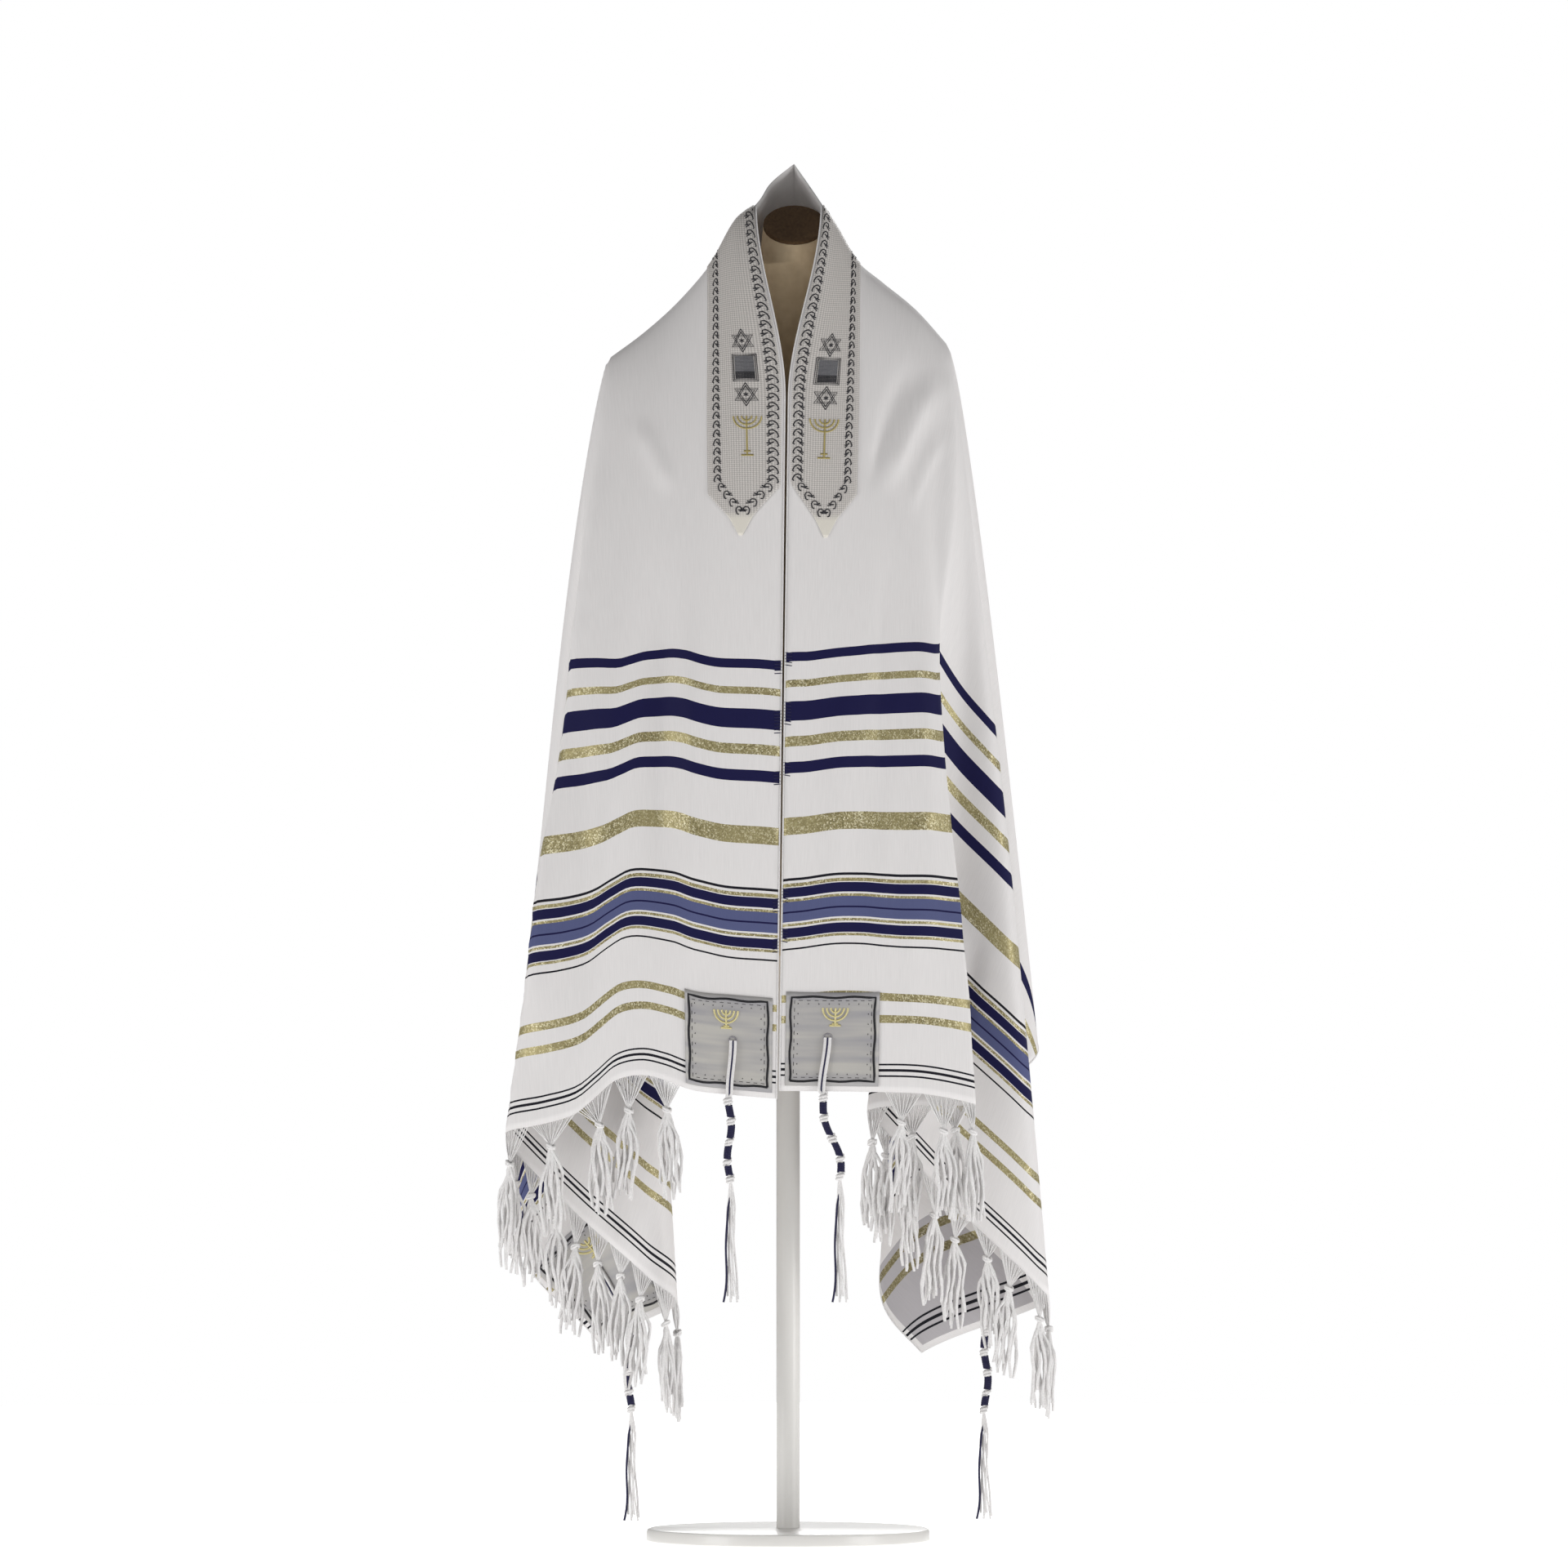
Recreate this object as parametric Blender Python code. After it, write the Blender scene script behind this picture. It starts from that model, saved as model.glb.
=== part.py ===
"""A tallit, the fringed prayer shawl, draped on a limbless dress form that stands on a pole.

Metres, +Z up, the wearer's front towards -Y, the origin at the middle of the stand's underside.

The shawl is one woven rectangle. A point of it is named by two cloth distances: a runs across
the cloth from the long edge at the neck and the front, and s runs along it from the centre back
to a fringed end. The cloth hangs in straight fall lines. Each starts on the support line, which
is the neck edge and the shoulder ridge, and ends on the cloth's outer edge, which is measured by
e: along the fringed end from the front corner (0) to the back corner (0.8), then along the lower
long edge to the centre back (1.8).
"""

import math

import bmesh
import bpy
import numpy as np

# Cut sizes of the cloth and of what is sewn on it
LENGTH = 2.00
WIDTH = 0.80
WALL = 0.0016
TRIM_WALL = 0.0010
SEAM_GAP = 0.0003
ATARAH_WIDTH = 0.064
PATCH = 0.096
PATCH_INSET = 0.007
EYELET_A = 0.048
EYELET_S = 0.945
HALF = LENGTH / 2
EDGE_END = WIDTH + HALF

# Where the shoulder ridge starts at the neck edge, and where its tip lies on the cloth
NECK_S = 0.085
TIP_A = 0.17
TIP_S = 0.25
BACK_NECK_S = 0.10

# How the cloth rounds away under the support line, as powers of the drop, and how far below the
# tip of the shoulder its folds are fully open
ROUND_X = 0.8
ROUND_Y = 0.5
FRONT_Y = 0.34
FOLD_OPENS = 0.55
FOLD_TURNS = 0.10
DRAWN_IN = (0.20, 0.25, 0.75)
EDGE_SWAY = 0.0115

# Fringe, counted on one fringed end, and the ritual tassels at the corners
TASSELS = 14
LOCKS = 3
STRIP_DEEP = 0.003
STRIP_GAP = 0.0007
LOCK_SIDE = 0.0032
LOCK_PITCH = 0.0042
KNOT_DROP = 0.030
LOCK_DROP = 0.112
CLEAR_OF_LOCK = 0.001
TZITZIT_SIDES = 8
HEAD_DROP = 0.090
FRONT_TIP_Z = 0.250
BACK_TIP_Z = 0.022
CORD_LIFT = 0.0009

# Dress form and stand
FORM_FOOT = 0.600
FORM_SIDES = 28
NECK_X = 0.0065
NECK_HALF = 0.032
NECK_DEEP = 0.035
CAP_Z = 1.3485
CAP_SLANT = math.radians(30)
CAP_THICK = 0.003
SHOULDER_CLEAR = 0.0027
POLE_RADIUS = 0.012
BASE_RADIUS = 0.145
BASE_THICK = 0.014

# The support line. Columns: place on the line (-1 centre back, 0 side of the neck, 1 tip of the
# shoulder), x, y, z
SUPPORT_LEFT = (
    (-1.00, 0.0060, 0.058, 1.411),
    (-0.50, -0.0175, 0.045, 1.391),
    (0.00, -0.0330, 0.000, 1.367),
    (0.12, -0.0525, 0.000, 1.352),
    (0.35, -0.0780, 0.000, 1.308),
    (0.58, -0.1120, 0.000, 1.268),
    (0.80, -0.1475, 0.000, 1.236),
    (1.00, -0.1840, 0.000, 1.209),
)
SUPPORT_RIGHT = (
    (-1.00, 0.0060, 0.058, 1.411),
    (-0.50, 0.0190, 0.045, 1.392),
    (0.00, 0.0340, 0.000, 1.368),
    (0.12, 0.0480, 0.000, 1.346),
    (0.35, 0.0700, 0.000, 1.310),
    (0.58, 0.0970, 0.000, 1.287),
    (0.80, 0.1310, 0.000, 1.259),
    (1.00, 0.1640, 0.000, 1.222),
)

# The outer edge where the fall lines end. Columns: e, x, y, z. The folds are named at their rows.
EDGE_LEFT = (
    (0.000, -0.0116, -0.150, 0.456),  # front corner
    (0.050, -0.0570, -0.152, 0.460),
    (0.095, -0.0980, -0.153, 0.465),
    (0.128, -0.1250, -0.150, 0.475),
    (0.160, -0.1500, -0.146, 0.480),  # top of the hem's wave
    (0.190, -0.1760, -0.144, 0.474),
    (0.215, -0.1970, -0.147, 0.456),
    (0.235, -0.2170, -0.149, 0.440),
    (0.265, -0.2500, -0.141, 0.430),
    (0.300, -0.2870, -0.122, 0.421),  # outer fold of the front panel
    (0.335, -0.2800, -0.095, 0.403),
    (0.470, -0.2120, -0.086, 0.335),
    (0.600, -0.1430, -0.114, 0.275),
    (0.665, -0.1130, -0.082, 0.248),  # inner fold
    (0.725, -0.1360, -0.030, 0.232),
    (0.800, -0.1950, 0.010, 0.204),  # back corner
    (0.900, -0.2620, 0.012, 0.275),
    (0.990, -0.2790, 0.024, 0.349),
    (1.120, -0.2830, 0.070, 0.440),  # outermost fold
    (1.230, -0.2620, 0.105, 0.490),
    (1.320, -0.2600, 0.155, 0.535),
    (1.400, -0.2250, 0.150, 0.560),
    (1.490, -0.2020, 0.170, 0.582),
    (1.550, -0.1720, 0.158, 0.590),
    (1.680, -0.0880, 0.153, 0.604),
    (1.800, 0.0000, 0.150, 0.611),  # centre back
)
EDGE_RIGHT = (
    (0.000, -0.0090, -0.150, 0.464),  # front corner
    (0.090, 0.0800, -0.153, 0.463),
    (0.150, 0.1370, -0.148, 0.461),
    (0.215, 0.1900, -0.130, 0.450),  # outer fold of the front panel
    (0.245, 0.1780, -0.108, 0.448),
    (0.340, 0.0830, -0.096, 0.444),  # inner fold
    (0.375, 0.0960, -0.078, 0.425),
    (0.500, 0.1700, -0.044, 0.345),
    (0.630, 0.2540, -0.044, 0.264),
    (0.670, 0.2660, -0.016, 0.248),  # outermost fold
    (0.715, 0.2420, 0.014, 0.234),
    (0.800, 0.1370, 0.030, 0.192),  # back corner
    (0.870, 0.0970, 0.040, 0.243),
    (0.930, 0.0980, 0.052, 0.310),
    (1.010, 0.1080, 0.064, 0.385),
    (1.130, 0.2000, 0.066, 0.452),
    (1.215, 0.2560, 0.092, 0.497),
    (1.305, 0.2360, 0.138, 0.535),
    (1.390, 0.2150, 0.168, 0.560),
    (1.475, 0.1850, 0.158, 0.580),
    (1.550, 0.1600, 0.158, 0.592),
    (1.680, 0.0830, 0.153, 0.604),
    (1.800, 0.0000, 0.150, 0.611),  # centre back
)

# What the folds open out of, close under the tip of the shoulder. Columns: e, x, y
CALM_LEFT = (
    (0.300, -0.287, -0.122),
    (0.800, -0.303, -0.040),
    (1.200, -0.285, 0.080),
    (1.550, -0.172, 0.158),
)
CALM_RIGHT = (
    (0.215, 0.190, -0.130),
    (0.800, 0.262, -0.040),
    (1.200, 0.262, 0.080),
    (1.550, 0.160, 0.158),
)

# Sign of x, the three tables, how the front panel's outer fold rounds away in x, as a power of
# the drop, and how far it is drawn in under the arm
SIDES = {
    "left": (-1, SUPPORT_LEFT, EDGE_LEFT, CALM_LEFT, 1.0, 0.006),
    "right": (1, SUPPORT_RIGHT, EDGE_RIGHT, CALM_RIGHT, 1.25, 0.024),
}

# Dress form below the shoulders. Columns: height, half width, half depth
FORM_SECTIONS = (
    (0.600, 0.100, 0.072),
    (0.612, 0.112, 0.080),
    (0.700, 0.124, 0.088),
    (0.800, 0.116, 0.082),
    (0.900, 0.106, 0.074),
    (1.000, 0.116, 0.078),
    (1.080, 0.132, 0.080),
    (1.140, 0.152, 0.072),
)
# From the shoulders up the half width comes from the support line. Columns: place on the line,
# half depth
SHOULDER_SECTIONS = ((0.98, 0.042), (0.80, 0.036), (0.58, 0.034), (0.35, 0.034))

# The cloth's grid has a line along each sewn edge, so that what lies on it is made from its points
PATCH_LINES = np.array((0, 0.032, ATARAH_WIDTH - PATCH_INSET, PATCH)) + PATCH_INSET
MIDDLE_LINES = np.linspace(PATCH_LINES[-1], WIDTH - PATCH_LINES[-1], 20)[1:-1]
CLOTH_A = np.array((0, *PATCH_LINES, *MIDDLE_LINES, *(WIDTH - PATCH_LINES[::-1]), WIDTH))
# Rows of the grid, counted from the centre back. The row at RIDGE_ROW follows the shoulder ridge
# and the neighbouring rows shift with it, as far as WARP_END.
RIDGE_ROW = 0.14
WARP_END = 0.43
BACK_ROWS = (0, 0.035, 0.07, 0.10, 0.122, 0.134)
FRONT_ROWS = (RIDGE_ROW, 0.146, 0.158, 0.178, 0.205, 0.24, 0.275, 0.31, 0.35, 0.385, 0.412, WARP_END)
LOWER_ROWS = np.linspace(0.475, 0.85, 9)
CLOTH_S = np.array((*BACK_ROWS, *FRONT_ROWS, *LOWER_ROWS, *(HALF - PATCH_LINES[::-1]), HALF))

# The atarah's outline on one side. Columns: s, nearest a, farthest a
ATARAH_POINT = ((0.385, 0.0, ATARAH_WIDTH), (0.412, 0.022, 0.042), (WARP_END, 0.0305, 0.0335))


def eased(rows, key):
    """Smooth values at each key through a table's rows, whose first column is the key."""
    table = np.array(rows, float)
    at, values = table[:, 0], table[:, 1:]
    slopes = np.empty_like(values)
    slopes[1:-1] = (values[2:] - values[:-2]) / (at[2:] - at[:-2])[:, None]
    slopes[0] = (values[1] - values[0]) / (at[1] - at[0])
    slopes[-1] = (values[-1] - values[-2]) / (at[-1] - at[-2])
    key = np.clip(np.asarray(key, float), at[0], at[-1])
    i = np.clip(np.searchsorted(at, key, side="right") - 1, 0, len(at) - 2)
    step = at[i + 1] - at[i]
    t = ((key - at[i]) / step)[..., None]
    step = step[..., None]
    return (
        (2 * t**3 - 3 * t**2 + 1) * values[i]
        + (t**3 - 2 * t**2 + t) * step * slopes[i]
        + (3 * t**2 - 2 * t**3) * values[i + 1]
        + (t**3 - t**2) * step * slopes[i + 1]
    )


def rise(t):
    """A soft step from 0 to 1."""
    t = np.clip(t, 0, 1)
    return t * t * (3 - 2 * t)


def support_place(e, fold_e):
    """Where on the support line the fall line that ends at e starts."""
    stops = (0, fold_e, EDGE_END - TIP_S, EDGE_END - BACK_NECK_S, EDGE_END)
    return np.interp(e, stops, (0, 1, 1, 0, -1))


def fall_line_ends(e, fold_e):
    """The cloth distances (a, s) where the fall line at e starts and ends."""
    place = support_place(e, fold_e)
    top_a = np.clip(place, 0, 1) * TIP_A
    top_s = np.where(place < 0, (1 + place) * NECK_S, NECK_S + place * (TIP_S - NECK_S))
    end_a = np.minimum(e, WIDTH)
    end_s = HALF - np.maximum(e - WIDTH, 0)
    return top_a, top_s, end_a, end_s


def fall_line_at(a, s, fold_e):
    """The e of the fall line through each cloth point, and how far down that line the point is."""
    ridge_s = NECK_S + (TIP_S - NECK_S) * np.minimum(a / TIP_A, 1)
    behind = s < np.where(a < TIP_A, ridge_s, TIP_S)
    low = np.where(behind, EDGE_END - TIP_S, 0.0)
    high = np.where(behind, EDGE_END, EDGE_END - TIP_S)
    for _ in range(40):
        e = (low + high) / 2
        top_a, top_s, end_a, end_s = fall_line_ends(e, fold_e)
        beyond = (end_s - top_s) * (a - top_a) - (end_a - top_a) * (s - top_s) > 0
        low = np.where(beyond, e, low)
        high = np.where(beyond, high, e)
    top_a, top_s, end_a, end_s = fall_line_ends(e, fold_e)
    run = np.hypot(a - top_a, s - top_s)
    return e, np.clip(run / np.hypot(end_a - top_a, end_s - top_s), 0, 1)


def drawn_in(drop):
    """The share that the fold is drawn in at a drop below the tip of the shoulder."""
    full, eases, free = DRAWN_IN
    return rise(drop / full) * (1 - rise((drop - eases) / (free - eases)))


def fan_table(edge, calm, fold_round, tip):
    """The rays of the fan that hangs from the tip of the shoulder. Columns: the ray's turn on the
    cloth, its way in x and y for a unit drop, the same before its folds open, how it rounds in x,
    how much of the drawing in it takes, drop for its length"""
    fold_e, open_e = calm[0][0], calm[-1][0]
    rows = []
    for e, x, y, z in edge:
        if fold_e <= e <= open_e:
            end_a = min(e, WIDTH) - TIP_A
            end_s = HALF - max(e - WIDTH, 0) - TIP_S
            drop = tip[2] - z
            calm_x, calm_y = eased(calm, e)
            turned = float(rise((e - fold_e) / FOLD_TURNS))
            power = fold_round + (ROUND_X - fold_round) * turned
            wide, deep = drop**power, drop**ROUND_Y
            ways = ((x - tip[0]) / wide, y / deep, (calm_x - tip[0]) / wide, calm_y / deep)
            turn = math.atan2(end_a, end_s)
            rows.append((turn, *ways, power, 1 - turned, drop / math.hypot(end_a, end_s)))
    return rows


def draped(a, s, side):
    """Points of the draped cloth at cloth distances a and s on one side."""
    sign, support, edge, calm, fold_round, draw = SIDES[side]
    fold_e = calm[0][0]
    e, v = fall_line_at(a, s, fold_e)
    top = eased(support, support_place(e, fold_e))
    end = eased(edge, e)
    front = np.clip(e / fold_e, 0, 1)
    across = v ** (1 + (fold_round - 1) * front)
    closing = rise(v / 0.22)
    at_edge = np.clip(1 - e / 0.12, 0, 1)
    across += (closing - across) * at_edge
    outwards = v ** (FRONT_Y + (ROUND_Y - FRONT_Y) * front)
    x = top[..., 0] + (end[..., 0] - top[..., 0]) * across
    x += EDGE_SWAY * closing * (1 - v) * at_edge
    x -= sign * draw * drawn_in((top[..., 2] - end[..., 2]) * v) * front**3 * (e <= fold_e)
    y = top[..., 1] + (end[..., 1] - top[..., 1]) * outwards
    z = top[..., 2] + (end[..., 2] - top[..., 2]) * v
    hung = np.stack([x, y, z], axis=-1)
    tip = np.array(support[-1][1:])
    turn = np.arctan2(a - TIP_A, s - TIP_S)
    fan = np.moveaxis(eased(fan_table(edge, calm, fold_round, tip), turn), -1, 0)
    way_x, way_y, calm_x, calm_y, power, taken, steep = fan
    drop = np.hypot(a - TIP_A, s - TIP_S) * steep
    opened = rise(drop / FOLD_OPENS)
    x = tip[0] + (calm_x + (way_x - calm_x) * opened) * drop**power
    x -= sign * draw * drawn_in(drop) * taken
    y = (calm_y + (way_y - calm_y) * opened) * drop**ROUND_Y
    fanned = np.stack([x, y, tip[2] - drop], axis=-1)
    in_fan = (e > fold_e) & (e < calm[-1][0])
    return np.where(in_fan[..., None], fanned, hung)


def row_s(row, a):
    """The cloth distance s at a grid row, which bends to follow the shoulder ridge."""
    ridge = NECK_S + (TIP_S - NECK_S) * np.minimum(a / TIP_A, 1)
    below = ridge + (row - RIDGE_ROW) * (WARP_END - ridge) / (WARP_END - RIDGE_ROW)
    near = np.where(row < RIDGE_ROW, row * ridge / RIDGE_ROW, below)
    return np.where(row < WARP_END, near, row)


def cloth_grid():
    """The grid's rows and columns, and its points in a (row, a) array."""
    rows = np.concatenate([-CLOTH_S[:0:-1], CLOTH_S])
    row_grid, a_grid = np.meshgrid(rows, CLOTH_A, indexing="ij")
    s_grid = row_s(np.abs(row_grid), a_grid)
    left = draped(a_grid, s_grid, "left")
    right = draped(a_grid, s_grid, "right")
    return rows, CLOTH_A, np.where(row_grid[..., None] < 0, left, right)


def normals_of(points):
    """Unit normals of a grid, pointing out of the garment."""
    along = np.gradient(points, axis=0)
    across = np.gradient(points, axis=1)
    normal = np.cross(along, across)
    return normal / np.linalg.norm(normal, axis=-1, keepdims=True)


S_ALL, A_ALL, CLOTH = cloth_grid()
CLOTH_OUT = normals_of(CLOTH)


def on_cloth(a, s, lift=0.0):
    """Points that lie on the cloth's grid at (a, s), lifted outwards."""
    a = np.asarray(a, float)
    s = np.asarray(s, float)
    i = np.clip(np.searchsorted(S_ALL, s, side="right") - 1, 0, len(S_ALL) - 2)
    j = np.clip(np.searchsorted(A_ALL, a, side="right") - 1, 0, len(A_ALL) - 2)
    p = ((s - S_ALL[i]) / (S_ALL[i + 1] - S_ALL[i]))[..., None]
    q = ((a - A_ALL[j]) / (A_ALL[j + 1] - A_ALL[j]))[..., None]

    def mixed(grid):
        near = grid[i, j] * (1 - q) + grid[i, j + 1] * q
        far = grid[i + 1, j] * (1 - q) + grid[i + 1, j + 1] * q
        return near * (1 - p) + far * p

    out = mixed(CLOTH_OUT)
    out = out / np.linalg.norm(out, axis=-1, keepdims=True)
    return mixed(CLOTH) + out * lift


def material(name, colour, roughness, metallic=0.0):
    """A Principled material from an sRGB hex colour."""
    parts = [int(colour[i : i + 2], 16) / 255 for i in (0, 2, 4)]
    linear = [c / 12.92 if c < 0.04045 else ((c + 0.055) / 1.055) ** 2.4 for c in parts]
    made = bpy.data.materials.new(name)
    made.use_nodes = True
    shader = made.node_tree.nodes["Principled BSDF"]
    shader.inputs["Base Color"].default_value = (*linear, 1)
    shader.inputs["Roughness"].default_value = roughness
    shader.inputs["Metallic"].default_value = metallic
    made.diffuse_color = (*linear, 1)
    return made


def finished(bm, name, surface, smooth=True):
    """A node from a bmesh, with its faces pointing out."""
    bmesh.ops.recalc_face_normals(bm, faces=bm.faces)
    mesh = bpy.data.meshes.new(name)
    bm.to_mesh(mesh)
    bm.free()
    if smooth:
        mesh.shade_smooth()
        mesh.set_sharp_from_angle(angle=math.radians(40))
    mesh.materials.append(surface)
    made = bpy.data.objects.new(name, mesh)
    bpy.context.scene.collection.objects.link(made)
    return made


def wall(name, inside, outside, surface):
    """A thin closed wall between two grids of points."""
    rows, columns = inside.shape[:2]
    bm = bmesh.new()
    sheets = [
        [[bm.verts.new(grid[i, j]) for j in range(columns)] for i in range(rows)]
        for grid in (inside, outside)
    ]
    for sheet, turn in zip(sheets, (1, -1)):
        for i in range(rows - 1):
            for j in range(columns - 1):
                near, far = sheet[i][j], sheet[i + 1][j + 1]
                for third in (sheet[i + 1][j], sheet[i][j + 1]):
                    bm.faces.new((near, third, far)[::turn])
    rim = [(i, 0) for i in range(rows)]
    rim += [(rows - 1, j) for j in range(1, columns)]
    rim += [(i, columns - 1) for i in range(rows - 2, -1, -1)]
    rim += [(0, j) for j in range(columns - 2, 0, -1)]
    for (i, j), (k, m) in zip(rim, rim[1:] + rim[:1]):
        bm.faces.new((sheets[0][k][m], sheets[0][i][j], sheets[1][i][j], sheets[1][k][m]))
    return finished(bm, name, surface)


def loft(bm, rings, close_end=True):
    """Skin through closed rings of points. It returns the last ring's vertices."""
    made = [[bm.verts.new(point) for point in ring] for ring in rings]
    count = len(made[0])
    for first, second in zip(made, made[1:]):
        for i in range(count):
            k = (i + 1) % count
            bm.faces.new((first[i], first[k], second[k], second[i]))
    bm.faces.new(made[0][::-1])
    if close_end:
        bm.faces.new(made[-1])
    return made[-1]


def ellipse(centre, half_width, half_depth, sides, tilt=0.0):
    """A level ring of points, or one that rises by tilt from front to back."""
    ring = []
    for i in range(sides):
        turn = 2 * math.pi * i / sides
        x = centre[0] + half_width * math.cos(turn)
        y = centre[1] + half_depth * math.sin(turn)
        ring.append((x, y, centre[2] + (y - centre[1]) * tilt))
    return ring


def shawl(surface):
    """The woven rectangle, right side out."""
    half_wall = WALL / 2
    return wall("shawl", CLOTH - CLOTH_OUT * half_wall, CLOTH + CLOTH_OUT * half_wall, surface)


def trim(name, a, s, surface, gap=SEAM_GAP):
    """A thin piece sewn on the right side of the cloth over the grid of points (a, s)."""
    low = WALL / 2 + gap
    return wall(name, on_cloth(a, s, low), on_cloth(a, s, low + TRIM_WALL), surface)


def atarah(surface):
    """The neck band, from pointed end to pointed end."""
    whole = S_ALL[np.abs(S_ALL) < ATARAH_POINT[0][0] + 1e-6]
    rows = [(-s, near, far) for s, near, far in ATARAH_POINT[:0:-1]]
    rows += [(s, 0, ATARAH_WIDTH) for s in whole]
    rows += ATARAH_POINT[1:]
    lines = CLOTH_A[CLOTH_A < ATARAH_WIDTH + 1e-6] / ATARAH_WIDTH
    a = np.array([near + (far - near) * lines for _, near, far in rows])
    s = np.array([np.full(len(lines), row[0]) for row in rows])
    return trim("atarah", a, s, surface, 2 * SEAM_GAP)


def corner_patch(name, side, at_back, surface):
    """One reinforcing square at a corner."""
    a = WIDTH - PATCH_LINES[::-1] if at_back else PATCH_LINES
    s = HALF - PATCH_LINES[::-1]
    s_grid, a_grid = np.meshgrid(s if side > 0 else -s[::-1], a, indexing="ij")
    return trim(name, a_grid, s_grid, surface)


def hem_frame(a, side):
    """On the fringed end at a: the point, the way down the cloth and the way out of it."""
    point = on_cloth(a, side * HALF)
    down = point - on_cloth(a, side * (HALF - 0.02))
    down /= np.linalg.norm(down)
    out = on_cloth(a, side * HALF, 1.0) - point
    return point, down, out


def fringe(name, side, surface):
    """A narrow heading parted from the fringed end, with tassels of knotted locks."""
    first = PATCH_INSET + PATCH + 0.006
    pitch = (WIDTH - 2 * first) / TASSELS
    stops = []
    for k in range(TASSELS):
        start = first + k * pitch + (pitch - LOCKS * LOCK_PITCH) / 2
        stops += [(start + n * LOCK_PITCH, k, n) for n in range(LOCKS)]
        stops.append((start + LOCKS * LOCK_PITCH, k, None))
    group = LOCKS * LOCK_PITCH
    starts = [start for start, _, n in stops if n == 0]
    nodes = []
    for a in MIDDLE_LINES:
        if not any(-CLEAR_OF_LOCK < a - start < group + CLEAR_OF_LOCK for start in starts):
            nodes.append(a)
    stops += [(a, 0, None) for a in (first, *nodes, WIDTH - first)]
    stops.sort(key=lambda stop: stop[0])
    rings = []
    for a, _, _ in stops:
        point, down, out = hem_frame(a, side)
        top = point + down * STRIP_GAP
        low = top + down * STRIP_DEEP
        half = out * LOCK_SIDE / 2
        rings.append((top - half, top + half, low + half, low - half))
    bm = bmesh.new()
    loft(bm, rings)
    corner = list(bm.verts)
    for i, (a, k, n) in enumerate(stops):
        if n is None:
            continue
        low = [corner[4 * i + 3], corner[4 * i + 2], corner[4 * i + 6], corner[4 * i + 7]]
        face = next(f for f in low[0].link_faces if all(v in f.verts for v in low))
        middle, _, out = hem_frame(first + (k + 0.5) * pitch, side)
        beside = np.cross(out, (0, 0, 1))
        beside /= np.linalg.norm(beside) + 1e-9
        across = on_cloth(first + (k + 0.5) * pitch + 0.002, side * HALF) - middle
        beside *= 1 if np.dot(beside, across) >= 0 else -1
        lean = 0.004 * math.sin(2.3 * k + side)
        half = LOCK_SIDE / 2
        steps = ((KNOT_DROP, 1.1 * LOCK_PITCH, 0.0), (LOCK_DROP, 1.7 * LOCK_PITCH, lean))
        for drop, spread, swing in steps:
            centre = middle + beside * ((n - (LOCKS - 1) / 2) * spread + swing)
            centre[2] -= drop + 0.006 * math.sin(1.7 * k + 2.1 * n)
            made = bmesh.ops.extrude_discrete_faces(bm, faces=[face])["faces"][0]
            shape = [-beside - out, -beside + out, beside + out, beside - out]
            size = half if drop == KNOT_DROP else 0.6 * half
            for vertex, way in zip(matched(made, low), shape):
                vertex.co = centre + np.array((way[0], way[1], 0)) * size
            face = made
            low = matched(made, low)
    return finished(bm, name, surface)


def matched(face, before):
    """The face's vertices in the order of the vertices that they were extruded from."""
    order = []
    for old in before:
        near = [edge.other_vert(old) for edge in old.link_edges]
        order.append(next(v for v in face.verts if v in near))
    return order


def tzitzit(name, side, at_back, surface):
    """A ritual tassel: a cord from the eyelet over the edge, a wound and knotted head, 8 strands."""
    a = WIDTH - EYELET_A if at_back else EYELET_A
    lift = WALL / 2 + SEAM_GAP + TRIM_WALL + CORD_LIFT
    cord = 0.0026
    rings = []
    for s, swell in ((EYELET_S - 0.003, 0.7), (EYELET_S + 0.012, 1.0), (0.975, 1.0), (0.999, 1.0)):
        centre = on_cloth(a, side * s, lift + cord)
        along = on_cloth(a, side * (s + 0.001 if s < 0.99 else s)) - on_cloth(a, side * (s - 0.004))
        rings.append(ring_across(centre, along, cord * swell))
    foot = on_cloth(a, side * HALF, lift + cord)
    # Columns: drop below the cloth's edge, radius
    head = ((0.012, 0.0032), (0.018, 0.0052), (0.024, 0.0036), (0.040, 0.0036), (0.045, 0.0050),
            (0.050, 0.0036), (0.066, 0.0036), (0.071, 0.0050), (0.076, 0.0036), (0.086, 0.0052))
    for drop, radius in head:
        rings.append(ring_across(foot - np.array((0, 0, drop)), np.array((0, 0, -1.0)), radius))
    bm = bmesh.new()
    last = loft(bm, rings, close_end=False)
    heart = bm.verts.new(foot - np.array((0, 0, HEAD_DROP)))
    count = len(last)
    roots = [bm.faces.new((last[i], last[(i + 1) % count], heart)) for i in range(count)]
    tip_z = BACK_TIP_Z if at_back else FRONT_TIP_Z
    head_z = foot[2] - HEAD_DROP
    for i, root in enumerate(roots):
        away = np.array(root.calc_center_median()) - foot
        away[2] = 0
        away /= np.linalg.norm(away)
        face = root
        for share, spread in ((0.45, 0.0075), (1.0, 0.010)):
            face = bmesh.ops.extrude_discrete_faces(bm, faces=[face])["faces"][0]
            corners = list(face.verts)
            end_z = tip_z + 0.004 * (1 + math.sin(2.0 * i))
            height = head_z + (end_z - head_z) * share
            centre = foot + away * spread
            middle = sum((np.array(v.co) for v in corners), np.zeros(3)) / 3
            for vertex in corners:
                flat = np.array(vertex.co) - middle
                flat[2] = 0
                size = np.linalg.norm(flat) + 1e-9
                vertex.co = (*(centre[:2] + flat[:2] / size * 0.0014), height)
    return finished(bm, name, surface)


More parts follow.
